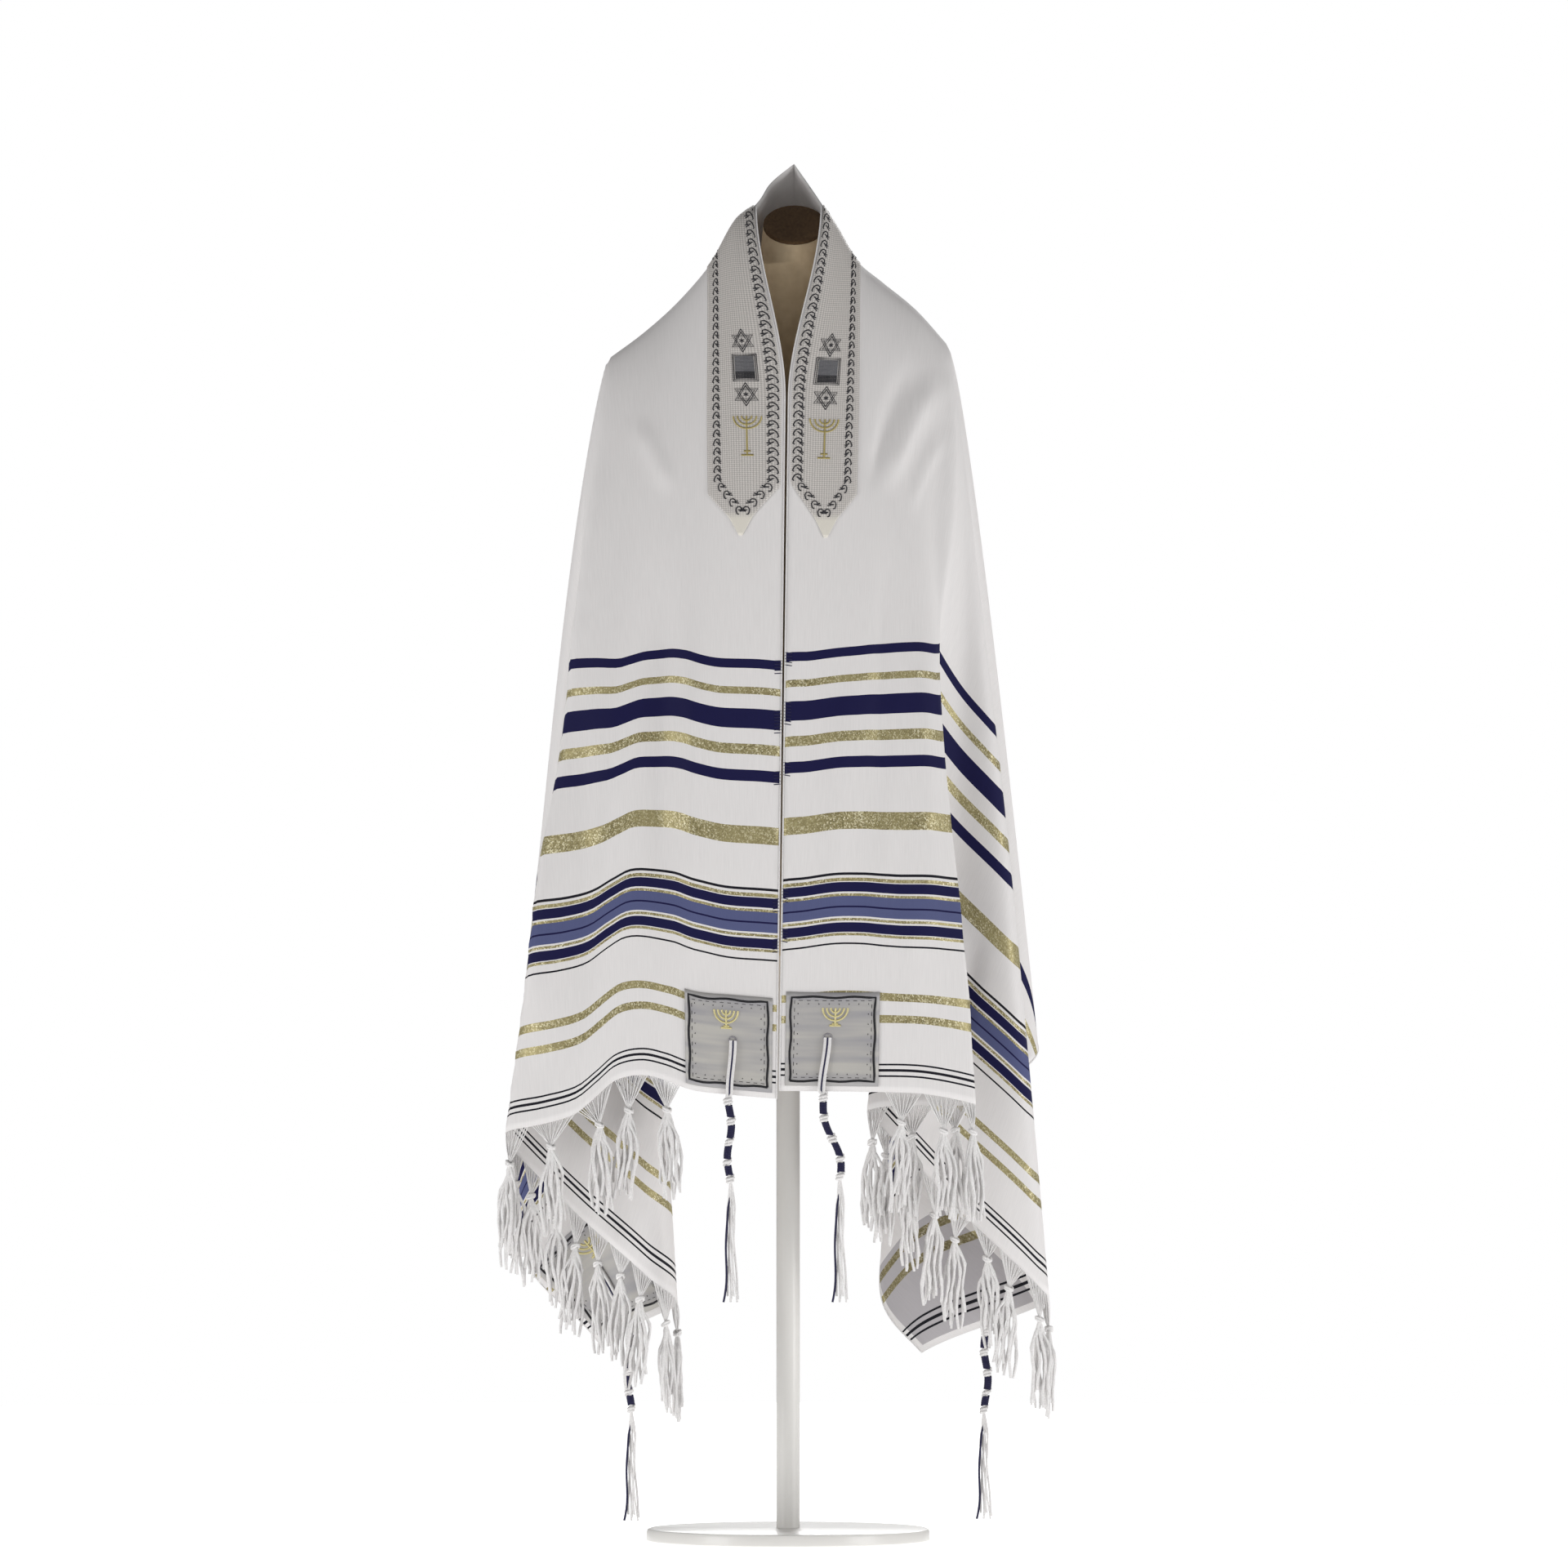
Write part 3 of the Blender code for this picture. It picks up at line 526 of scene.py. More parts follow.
def cloth_way_out(a, s):
    """Unit vectors out of the garment at cloth points, from points 2 mm to either side."""
    near_a, far_a = np.clip(a - 0.002, 0, WIDTH), np.clip(a + 0.002, 0, WIDTH)
    near_s, far_s = np.clip(s - 0.002, -HALF, HALF), np.clip(s + 0.002, -HALF, HALF)
    along = cloth_point(a, far_s) - cloth_point(a, near_s)
    way = np.cross(along, cloth_point(far_a, s) - cloth_point(near_a, s))
    return way / np.linalg.norm(way, axis=-1, keepdims=True)


def crease_height(a, s):
    """How far the creases lift the cloth. Each one fades in from its ends."""
    height = np.zeros_like(a)
    for side, from_a, from_s, to_a, to_s, half_width, high in CREASES:
        run = math.hypot(to_a - from_a, to_s - from_s)
        way_a, way_s = (to_a - from_a) / run, (to_s - from_s) / run
        along = ((a - from_a) * way_a + (np.abs(s) - from_s) * way_s) / run
        beside = (a - from_a) * way_s - (np.abs(s) - from_s) * way_a
        fade = rise(along / CREASE_FADE) * rise((1 - along) / CREASE_FADE)
        height += high * fade * np.exp(-((beside / half_width) ** 2)) * (s * side > 0)
    return height


def pulled_up(a, s):
    """How much further along the cloth its weave is at (a, s) than if it hung evenly."""
    pull = eased(PULLED_UP, a)
    size = np.abs(s)
    share = rise(np.interp(size, PULL_SETS_IN, (0, 1))) * rise(np.interp(size, PULL_FADES, (1, 0)))
    return np.sign(s) * share * np.where(s < 0, pull[..., 0], pull[..., 1])


def on_cloth(a, s, lift=0.0):
    """Points that lie on the creased cloth at (a, s), lifted outwards."""
    a, s = np.broadcast_arrays(np.asarray(a, float), np.asarray(s, float))
    height = np.asarray(lift) + crease_height(a, s)
    return cloth_point(a, s) + cloth_way_out(a, s) * height[..., None]


def cloth_piece(name, across, down, placed, material, lift=0.0, thick=0.0, woven=False):
    """A grid laid on the cloth, with its cloth distances (a, s) as its UV map. placed turns the
    grid's own 0 to 1, across and down, into (a, s). A woven piece has its stripes pulled up."""
    bm = bmesh.new()
    uv = bm.loops.layers.uv.new("cloth")
    bmesh.ops.create_grid(bm, x_segments=across, y_segments=down, size=0.5)
    corners = bm.verts[:]
    flat = np.array([corner.co for corner in corners]) + 0.5
    a, s = placed(flat[:, 0], flat[:, 1])
    for corner, point in zip(corners, on_cloth(a, s, np.full(len(a), lift))):
        corner.co = point
    bm.verts.index_update()
    woven_s = s + pulled_up(a, s) * woven
    for face in bm.faces:
        for loop in face.loops:
            loop[uv].uv = (a[loop.vert.index], woven_s[loop.vert.index])
    out = on_cloth(a[:1], s[:1], 1.0)[0] - on_cloth(a[:1], s[:1])[0]
    first = corners[0].link_faces[0]
    first.normal_update()
    if first.normal.dot(out) < 0:
        bmesh.ops.reverse_faces(bm, faces=bm.faces)
    made = piece_from(bm, name, material)
    if thick:
        wall = made.modifiers.new("thickness", "SOLIDIFY")
        wall.thickness = thick
        wall.offset = 0.0
    return made


def threads(name, paths, radius, material, sides=2, taper=None):
    """Threads of one thickness, each along its own points. taper scales each point's radius."""
    curve = bpy.data.curves.new(name, "CURVE")
    curve.dimensions = "3D"
    curve.bevel_depth = radius
    curve.bevel_resolution = sides - 2
    curve.use_fill_caps = True
    for path in paths:
        spline = curve.splines.new("POLY")
        spline.points.add(len(path) - 1)
        for i, (point, place) in enumerate(zip(spline.points, path)):
            point.co = (*place, 1.0)
            point.radius = 1.0 if taper is None else taper[i]
    made = add_object(name, curve)
    mesh = bpy.data.meshes.new_from_object(made)
    bpy.data.objects.remove(made)
    mesh.name = name
    mesh.shade_smooth()
    mesh.materials.clear()
    mesh.materials.append(material)
    made = add_object(name, mesh)
    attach(made, "root")
    return made


def stitches(name, lines, radius, material, lift):
    """Threads that lie on the cloth, each along a line of (a, s) points."""
    a, s = np.concatenate([np.array(line, float) for line in lines]).T
    ends = np.cumsum([len(line) for line in lines])[:-1]
    return threads(name, np.split(on_cloth(a, s, lift), ends), radius, material)


def thread_material(name, colour, roughness, metallic=0.0):
    """Twisted thread: its plies show as a fine grain, a little lighter and darker."""
    made, tree, shader = new_material(name)
    place = add_node(tree, "TexCoord").outputs["Object"]
    fine = {"Vector": place, "Scale": 700.0, "Detail": 2.0}
    plies = add_node(tree, "TexNoise", fine).outputs["Fac"]
    shade = add_node(tree, "MapRange", {"Value": plies, "To Min": 0.75, "To Max": 1.15})
    shaded = {0: 1.0, 6: linear(colour), 7: shade.outputs["Result"]}
    tinted = add_node(tree, "Mix", shaded, data_type="RGBA", blend_type="MULTIPLY")
    tree.links.new(tinted.outputs[2], shader.inputs["Base Color"])
    shader.inputs["Roughness"].default_value = roughness
    shader.inputs["Metallic"].default_value = metallic
    bump = add_node(tree, "Bump", {"Height": plies, "Strength": 0.4, "Distance": 0.0003})
    tree.links.new(bump.outputs["Normal"], shader.inputs["Normal"])
    return made


# Stripes on each end. Columns: from s, to s, thread
STRIPES = (
    (0.5540, 0.5640, "navy"),
    (0.5823, 0.5898, "gold"),
    (0.6050, 0.6250, "navy"),
    (0.6410, 0.6510, "gold"),
    (0.6670, 0.6790, "navy"),
    (0.7240, 0.7420, "gold"),
    (0.7868, 0.7889, "black"),
    (0.7920, 0.7955, "gold"),
    (0.7965, 0.8065, "navy"),
    (0.8080, 0.8108, "gold"),
    (0.8112, 0.8206, "slate"),
    (0.8206, 0.8222, "navy"),
    (0.8222, 0.8318, "slate"),
    (0.8332, 0.8360, "gold"),
    (0.8375, 0.8475, "navy"),
    (0.8485, 0.8515, "gold"),
    (0.8583, 0.8604, "black"),
    (0.9045, 0.9115, "gold"),
    (0.9245, 0.9315, "gold"),
    (0.9706, 0.9728, "black"),
    (0.9764, 0.9786, "black"),
    (0.9821, 0.9843, "black"),
)
THREADS = {
    "white": "E7E4E3",
    "navy": "0A083F",
    "gold": "AFA477",
    "slate": "555B83",
    "black": "0E0E1A",
}
STRIPE_STARTS = [start for start, _, _ in STRIPES]
RAMPS = ((0.50, 0.77), (0.77, 1.00))

woven_cloth, tree, shader = new_material("white woven cloth with stripes")
cloth_map = add_node(tree, "UVMap", uv_map="cloth").outputs["UV"]
_, cloth_s, _ = add_node(tree, "SeparateXYZ", {"Vector": cloth_map}).outputs
far_s = add_node(tree, "Math", {0: cloth_s}, operation="ABSOLUTE").outputs["Value"]
ramps = []
for low, high in RAMPS:
    share = add_node(tree, "MapRange", {"Value": far_s, "From Min": low, "From Max": high})
    ramp = add_node(tree, "ValToRGB", {"Fac": share.outputs["Result"]})
    bands = ramp.color_ramp
    bands.interpolation = "CONSTANT"
    bands.elements.remove(bands.elements[1])
    bands.elements[0].position = 0
    bands.elements[0].color = (*linear(THREADS["white"])[:3], 0.0)
    for start, end, thread in STRIPES:
        if low < start < high:
            band = bands.elements.new((start - low) / (high - low))
            band.color = (*linear(THREADS[thread])[:3], float(thread == "gold"))
            if end not in STRIPE_STARTS:
                after = bands.elements.new((end - low) / (high - low))
                after.color = (*linear(THREADS["white"])[:3], 0.0)
    ramps.append(ramp)
past_first = {0: far_s, 1: RAMPS[0][1]}
beyond = add_node(tree, "Math", past_first, operation="GREATER_THAN").outputs["Value"]
both = {0: beyond, 6: ramps[0].outputs["Color"], 7: ramps[1].outputs["Color"]}
stripe_colour = add_node(tree, "Mix", both, data_type="RGBA")
both = {"Factor": beyond, "A": ramps[0].outputs["Alpha"], "B": ramps[1].outputs["Alpha"]}
gold_share = add_node(tree, "Mix", both, data_type="FLOAT").outputs["Result"]
# Lurex flecks run from dark gold to near white, livelier in some zones: partly the threads' own
# tone, partly painted glints. The lurex's 0.5 mm flecks are drawn 1.2 mm wide.
lurex_glint_cells = add_node(tree, "TexVoronoi", {"Vector": cloth_map, "Scale": 850.0})
lurex_glint_colour = add_node(tree, "ValToRGB", {"Fac": lurex_glint_cells.outputs["Color"]})
lurex_glint_colour.color_ramp.elements[0].position = 0.1
lurex_glint_colour.color_ramp.elements[0].color = linear("7C7250")
lurex_glint_colour.color_ramp.elements[1].position = 0.95
lurex_glint_colour.color_ramp.elements[1].color = linear("F8F2D4")
lurex_glint_colour.color_ramp.elements.new(0.6).color = linear("ACA175")
zones = add_node(tree, "TexNoise", {"Vector": cloth_map, "Scale": 16.0, "Detail": 1.0})
lively = {"Value": zones.outputs["Fac"], "From Min": 0.36, "From Max": 0.58, "To Min": 0.5}
zone = add_node(tree, "MapRange", lively)
flecked = {0: zone.outputs["Result"], 6: linear(THREADS["gold"]), 7: lurex_glint_colour.outputs["Color"]}
sparkle = add_node(tree, "Mix", flecked, data_type="RGBA")
with_gold = {0: gold_share, 6: stripe_colour.outputs[2], 7: sparkle.outputs[2]}
glitter = add_node(tree, "Mix", with_gold, data_type="RGBA")
# Each thread takes the dye a little differently, which shows as fine streaks across the stripes
across_stripes = {"Vector": cloth_map, "Scale": (900.0, 40.0, 1.0)}
streaky = add_node(tree, "Mapping", across_stripes).outputs["Vector"]
streaks = add_node(tree, "TexNoise", {"Vector": streaky, "Scale": 1.0, "Detail": 2.0})
faint = {"Value": streaks.outputs["Fac"], "To Min": 0.93, "To Max": 1.05}
streaked = {0: 1.0, 6: glitter.outputs[2], 7: add_node(tree, "MapRange", faint).outputs["Result"]}
dyed = add_node(tree, "Mix", streaked, data_type="RGBA", blend_type="MULTIPLY")
tree.links.new(dyed.outputs[2], shader.inputs["Base Color"])
shader.inputs["Specular IOR Level"].default_value = 0.3
metal = add_node(tree, "Math", {0: gold_share, 1: 0.35}, operation="MULTIPLY").outputs["Value"]
tree.links.new(metal, shader.inputs["Metallic"])
dull = add_node(tree, "MapRange", {"Value": gold_share, "To Min": 0.78, "To Max": 0.48})
tree.links.new(dull.outputs["Result"], shader.inputs["Roughness"])
# The real threads are 0.3 mm apart. They are drawn 1 mm apart so that the weave shows at all.
thread_lines = {"Vector": cloth_map, "Scale": 314.0, "Distortion": 0.4}
warp = add_node(tree, "TexWave", thread_lines).outputs["Fac"]
weft = add_node(tree, "TexWave", thread_lines, bands_direction="Y").outputs["Fac"]
weave = add_node(tree, "Math", {0: warp, 1: weft}, operation="ADD").outputs["Value"]
bump = add_node(tree, "Bump", {"Height": weave, "Strength": 0.05, "Distance": 0.0003})
tree.links.new(bump.outputs["Normal"], shader.inputs["Normal"])

NECK_ROWS = 20
ROWS = 143
COLUMNS = 134


def shawl_place(across, down):
    """Evenly spaced columns, and rows that start afresh at the shoulder ridge."""
    row = (down * 2 - 1) * ROWS
    row = np.sign(row) * np.interp(np.abs(row), (0, NECK_ROWS, ROWS), (0, RIDGE_ROW, HALF))
    a = across * WIDTH
    return a, row_s(row, a)


shawl = cloth_piece(
    "shawl_cloth", COLUMNS, 2 * ROWS, shawl_place, woven_cloth, thick=CLOTH_THICK, woven=True
)
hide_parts("shawl")

# On the wrong side the stripes are the same, and at the corners a painted shadow stands for the
# patches' grey satin seen through the thin cloth from the other face
PATCH = 0.096
PATCH_INSET = 0.0055
PATCH_SHADOW_SHARE = 0.75
wrong_side = woven_cloth.copy()
wrong_side.name = "wrong side of the woven cloth"
tree = wrong_side.node_tree
shader = tree.nodes["Principled BSDF"]
cloth_map = add_node(tree, "UVMap", uv_map="cloth").outputs["UV"]
cloth_a, cloth_s, _ = add_node(tree, "SeparateXYZ", {"Vector": cloth_map}).outputs
to_middle = {0: cloth_a, 1: WIDTH / 2}
middle_a = add_node(tree, "Math", to_middle, operation="SUBTRACT").outputs["Value"]
corner = []
for value, half in ((middle_a, WIDTH / 2), (cloth_s, HALF)):
    size = add_node(tree, "Math", {0: value}, operation="ABSOLUTE").outputs["Value"]
    within_patch = {0: size, 1: half - PATCH_INSET - PATCH / 2, 2: PATCH / 2}
    corner.append(add_node(tree, "Math", within_patch, operation="COMPARE").outputs["Value"])
under_patch = add_node(tree, "Math", {0: corner[0], 1: corner[1]}, operation="MULTIPLY").outputs["Value"]
patch_shadow = add_node(tree, "Math", {0: under_patch, 1: PATCH_SHADOW_SHARE}, operation="MULTIPLY").outputs["Value"]
woven_colour = shader.inputs["Base Color"].links[0].from_socket
# Painted shadow: grey where the patch on the other face would show through the cloth
tinted = {0: patch_shadow, 6: woven_colour, 7: linear("B4B2B8")}
painted_patch_shadow = add_node(tree, "Mix", tinted, data_type="RGBA", blend_type="MULTIPLY")
tree.links.new(painted_patch_shadow.outputs[2], shader.inputs["Base Color"])
shawl.data.materials.append(wrong_side)
shawl.modifiers["thickness"].material_offset = 1

# Both long edges are rolled and sewn over with white thread
white_cord = thread_material("white twisted cotton", "E9E7E6", 0.8)
ROLL_RADIUS = 0.0011
ROLL_POINTS = 240
half_edge = np.linspace(0, HALF, ROLL_POINTS)
along_edge = np.concatenate([-half_edge[:0:-1], half_edge])
roll_a = ROLL_RADIUS / 2
for name, a in (("rolled_edge_neck", roll_a), ("rolled_edge_low", WIDTH - roll_a)):
    roll = stitches(name, [[(a, s) for s in along_edge]], ROLL_RADIUS, white_cord, 0.0)

# Where the navy stripes meet the neck edge, its sewing shows as short slanted navy ticks
TICK_PITCH = 0.0032
TICK_LONG = 0.0060
TICK_RADIUS = 0.0005
WIDE_STRIPE = 0.005
navy_cord = thread_material("navy twisted cotton", "16143F", 0.7)
ticks = []
for start, end, thread in STRIPES:
    if thread == "navy" and end - start > WIDE_STRIPE:
        for s in np.arange(start, end + TICK_PITCH, TICK_PITCH):
            for side in (-1, 1):
                at = side * s - pulled_up(0.0, side * s)
                ticks.append([(0.0, at), (TICK_LONG, at + side * TICK_PITCH / 2)])
edge_ticks = stitches("edge_ticks", ticks, TICK_RADIUS, navy_cord, CLOTH_THICK / 2)


# The atarah: the neck band, silver-grey jacquard with a small diamond weave, sewn along the long
# edge from pointed end to pointed end, so that it frames the neck and hangs as two lapels. Its
# charcoal vine, stars and tablets and its gold lampstands are raised in thread.
ATARAH_WIDTH = 0.064
ATARAH_THICK = 0.0006
SEWN_GAP = 0.0009
# The pointed end. Columns: s, nearest a, farthest a
ATARAH_POINT = ((0.385, 0.0025, ATARAH_WIDTH), (0.412, 0.022, 0.042), (0.430, 0.0305, 0.0335))

jacquard, tree, shader = new_material("silver-grey jacquard")
cloth_map = add_node(tree, "UVMap", uv_map="cloth").outputs["UV"]
_, cloth_s, _ = add_node(tree, "SeparateXYZ", {"Vector": cloth_map}).outputs
far_s = add_node(tree, "Math", {0: cloth_s}, operation="ABSOLUTE").outputs["Value"]
slanted = {"Vector": cloth_map, "Rotation": (0.0, 0.0, math.radians(45))}
diamonds = add_node(tree, "Mapping", slanted).outputs["Vector"]
# The sides of the diamonds are 1.5 mm long
weave = {"Color1": linear("B4AFAB"), "Color2": linear("D8D3CE"), "Scale": 1000 / 1.5}
cells = add_node(tree, "TexChecker", {**weave, "Vector": diamonds})
# Painted lustre: fine specks a little lighter and darker stand for the shine of the threads
lustre = add_node(tree, "TexNoise", {"Vector": cloth_map, "Scale": 900.0, "Detail": 2.0})
uneven = {"Value": lustre.outputs["Fac"], "To Min": 0.82, "To Max": 1.14}
painted_lustre_specks = add_node(tree, "MapRange", uneven).outputs["Result"]
specked = {0: 1.0, 6: cells.outputs["Color"], 7: painted_lustre_specks}
figured = add_node(tree, "Mix", specked, data_type="RGBA", blend_type="MULTIPLY")
# The tips of the points are woven plain in cream
tip_share = add_node(tree, "MapRange", {"Value": far_s, "From Min": 0.405, "From Max": 0.413})
tipped = {0: tip_share.outputs["Result"], 6: figured.outputs[2], 7: linear("E2DDD2")}
with_tips = add_node(tree, "Mix", tipped, data_type="RGBA")
tree.links.new(with_tips.outputs[2], shader.inputs["Base Color"])
shader.inputs["Roughness"].default_value = 0.55
bump = add_node(tree, "Bump", {"Height": cells.outputs["Fac"], "Strength": 0.2, "Distance": 0.0002})
tree.links.new(bump.outputs["Normal"], shader.inputs["Normal"])


def atarah_place(across, down):
    """The band narrows to a point past the last straight row at both ends."""
    row = (down * 2 - 1) * ATARAH_POINT[-1][0]
    size = np.abs(row)
    stops, near, far = np.array(ATARAH_POINT).T
    a = np.interp(size, stops, near)
    a = a + across * (np.interp(size, stops, far) - a)
    return a, row_s(row, a)


band_lift = CLOTH_THICK / 2 + SEWN_GAP
atarah = cloth_piece("atarah_band", 18, 270, atarah_place, jacquard, band_lift, ATARAH_THICK)
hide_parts("atarah")

charcoal = thread_material("charcoal thread", "28282E", 0.6)
mid_grey = thread_material("mid grey thread", "77777B", 0.6)
gold_thread = thread_material("gold thread", "B3A468", 0.4, 0.3)
STITCH_RADIUS = 0.00055
VINE_RADIUS = 0.00075
GOLD_RADIUS = 0.0010
stitch_lift = band_lift + ATARAH_THICK / 2

# One unit of the vine: a hooked branch, a leaf and a tendril. Columns: across from the middle of
# its column, away from the middle of the band, and down
VINE = (
    (
        (0.0042, 0.0020),
        (0.0030, -0.0008),
        (0.0006, -0.0024),
        (-0.0016, -0.0014),
        (-0.0020, 0.0008),
        (-0.0006, 0.0030),
        (-0.0030, 0.0050),
    ),
    ((0.0014, 0.0006), (-0.0006, 0.0022), (-0.0034, 0.0026)),
    ((0.0042, 0.0020), (0.0046, 0.0034), (0.0034, 0.0046)),
)
VINE_PITCH = 0.0094
# Middles of the two vine columns, where they stop, and the tip where they meet
VINE_NEAR = 0.0085
VINE_FAR = 0.0515
VINE_STOP = 0.374
VINE_TIP = (0.030, 0.407)

# Middle of each lapel's motifs, how far they are narrowed there, then places down it
MOTIF_A = {-1: 0.0255, 1: 0.0285}
NARROWED = {-1: 0.80, 1: 0.95}
STAR_S = (0.2310, 0.2860)
STAR_RADIUS = 0.0120
STAR_INNER = 0.74
ROSETTE = 0.2
TABLET_S = 0.2445
TABLET_WIDE = 0.0230
TABLET_HIGH = 0.0275
TABLET_LINES = (0.0, 0.0014)
FILL_BESIDE = 0.0025
FILL_TOP = 0.0026
FILL_ROW = 1.8 * STITCH_RADIUS
# The tablet's two fills, as shares of its height. Columns: start, height
LIGHT_FILL = (0.0, 0.54)
DARK_FILL = (0.57, 0.24)
LAMPSTAND_S = 0.3080
LAMPSTAND_WIDE = 0.0260
LAMPSTAND_HIGH = 0.0400
# Widths of the lampstand's arcs, then of its foot's steps with their heights, as shares of its own
LAMP_ARCS = (1.0, 0.68, 0.36)
LAMP_STEPS = ((0.0, 0.22), (0.10, 0.12))


def vine(start, end, outwards, side):
    """Units of the vine in a row between two (a, s) points, s without its sign."""
    run = np.subtract(end, start)
    count = max(round(math.hypot(*run) / VINE_PITCH), 1)
    down = run / math.hypot(*run)
    across = np.array((down[1], -down[0])) * outwards
    lines = []
    for n in range(count):
        middle = np.add(start, run * (n + 0.5) / count)
        for stroke in VINE:
            points = [middle + across * u + down * w for u, w in stroke]
            lines.append([(a, side * s) for a, s in points])
    return lines


def star(a, s, radius, side):
    """A star of two crossed triangles, each drawn double, with a small rosette."""
    lines = []
    for size in (radius, radius * STAR_INNER):
        for turned_by in (0, math.pi):
            turns = [turned_by + 2 * math.pi * n / 3 for n in range(4)]
            lines.append([(a + size * math.sin(t), side * (s - size * math.cos(t))) for t in turns])
    for t in (0, math.pi / 3, 2 * math.pi / 3):
        u, w = ROSETTE * radius * math.sin(t), ROSETTE * radius * math.cos(t)
        lines.append([(a - u, side * (s - w)), (a + u, side * (s + w))])
    return lines


def lampstand(a, s, width, height, side):
    """A seven-branched lampstand: three nested arcs, a stem and a stepped foot, top at s."""
    lines = [[(a, side * s), (a, side * (s + height))]]
    for share in LAMP_ARCS:
        wide = share * width / 2
        turns = np.linspace(math.pi, 0, 13)
        lines.append([(a + wide * math.cos(t), side * (s + wide * math.sin(t))) for t in turns])
    for up, wide in LAMP_STEPS:
        foot = s + height * (1 - up)
        lines.append([(a - wide * width, side * foot), (a + wide * width, side * foot)])
    return lines


def narrowed(lines, side):
    """The lines drawn in towards the middle of a lapel."""
    middle = MOTIF_A[side]
    return [[(middle + (a - middle) * NARROWED[side], s) for a, s in line] for line in lines]


def hatched(fill, side):
    """Rows of satin stitch that fill a part of a lapel's tablet."""
    start, high = np.multiply(fill, TABLET_HIGH)
    start += TABLET_S + FILL_TOP
    rows = side * np.linspace(start, start + high, round(high / FILL_ROW))
    reach = TABLET_WIDE / 2 - FILL_BESIDE
    middle = MOTIF_A[side]
    return [[(middle + across, row) for across in (-reach, 0, reach)] for row in rows]


vines, dark_lines, light_rows, dark_rows, gold_lines = [], [], [], [], []
for side in (-1, 1):
    for middle, outwards in ((VINE_NEAR, -1), (VINE_FAR, 1)):
        vines += vine((middle, VINE_PITCH / 4), (middle, VINE_STOP), outwards, side)
        vines += vine((middle, VINE_STOP), VINE_TIP, outwards, side)
    middle = MOTIF_A[side]
    for s in STAR_S:
        dark_lines += narrowed(star(middle, s, STAR_RADIUS, side), side)
    for inset in TABLET_LINES:
        left, right = middle - TABLET_WIDE / 2 + inset, middle + TABLET_WIDE / 2 - inset
        top, low = side * (TABLET_S + inset), side * (TABLET_S + TABLET_HIGH - inset)
        tablet = [(left, top), (right, top), (right, low), (left, low), (left, top)]
        dark_lines += narrowed([tablet], side)
    light_rows += narrowed(hatched(LIGHT_FILL, side), side)
    dark_rows += narrowed(hatched(DARK_FILL, side), side)
    stand = lampstand(middle, LAMPSTAND_S, LAMPSTAND_WIDE, LAMPSTAND_HIGH, side)
    gold_lines += narrowed(stand, side)
embroidery = [
    stitches("vines", vines, VINE_RADIUS, charcoal, stitch_lift),
    stitches("stars_and_tablets", dark_lines, STITCH_RADIUS, charcoal, stitch_lift),
    stitches("tablets_light", light_rows, STITCH_RADIUS, mid_grey, stitch_lift),
    stitches("tablets_dark", dark_rows, STITCH_RADIUS, charcoal, stitch_lift),
    stitches("lampstands", gold_lines, GOLD_RADIUS, gold_thread, stitch_lift),
]


# The corner patches: squares of grey satin that strengthen the four corners, edge-stitched, with
# a black cord frame, a fine dashed line, a row of dots and a gold lampstand over the worked eyelet.
PATCH_THICK = 0.0006
EYELET_A = 0.048
EYELET_S = 0.945
EYELET_RADIUS = 0.0042
FRAME_IN = 0.0050
DASHES_IN = 0.0085
DOTS_IN = 0.0120
FRAME_RADIUS = 0.0012
FRAME_WAVE = 0.0007
FRAME_POINTS = 49
DASH_RADIUS = 0.0003
DASH_POINTS = 81
DOTS_A_SIDE = 7
DOT_RADIUS = 0.0007
DOT_LONG = 0.0006
RING_RADIUS = 0.0009
# The lampstand's middle past the eyelet, its top below the patch's top, and its size
PATCH_LAMP = (0.007, 0.016, 0.026, 0.018)

satin, tree, shader = new_material("grey satin")
cloth_map = add_node(tree, "UVMap", uv_map="cloth").outputs["UV"]
# The satin's grey is its own; its long lighter and darker bands are painted sheen
long_sheen = {"Vector": cloth_map, "Scale": (7.0, 80.0, 1.0)}
stretch = add_node(tree, "Mapping", long_sheen).outputs["Vector"]
shimmer = add_node(tree, "TexNoise", {"Vector": stretch, "Scale": 1.0, "Detail": 2.0})
satin_and_sheen_colour = add_node(tree, "ValToRGB", {"Fac": shimmer.outputs["Fac"]})
satin_and_sheen_colour.color_ramp.elements[0].position = 0.35
satin_and_sheen_colour.color_ramp.elements[0].color = linear("A2A0A3")
satin_and_sheen_colour.color_ramp.elements[1].position = 0.65
satin_and_sheen_colour.color_ramp.elements[1].color = linear("BDBAB4")
tree.links.new(satin_and_sheen_colour.outputs["Color"], shader.inputs["Base Color"])
shader.inputs["Roughness"].default_value = 0.42


def inside_patch(inset, at_back, count, side):
    """Points round a square inside a patch's edges, evenly spaced, the last one the first again."""
    size = PATCH - 2 * inset
    corners = np.array(((0, 0), (1, 0), (1, 1), (0, 1), (0, 0))) * size + PATCH_INSET + inset
    shares = np.linspace(0, 4, count)
    a = np.interp(shares, range(5), corners[:, 0])
    s = side * (HALF - np.interp(shares, range(5), corners[:, 1]))
    return [(WIDTH - x if at_back else x, y) for x, y in zip(a, s)]


def corner_place(at_back, side):
    """How a patch's own 0 to 1, across and down, lies on the cloth."""

    def placed(across, down):
        inset = PATCH_INSET + PATCH * across
        return WIDTH - inset if at_back else inset, side * (HALF - PATCH_INSET - PATCH * down)

    return placed


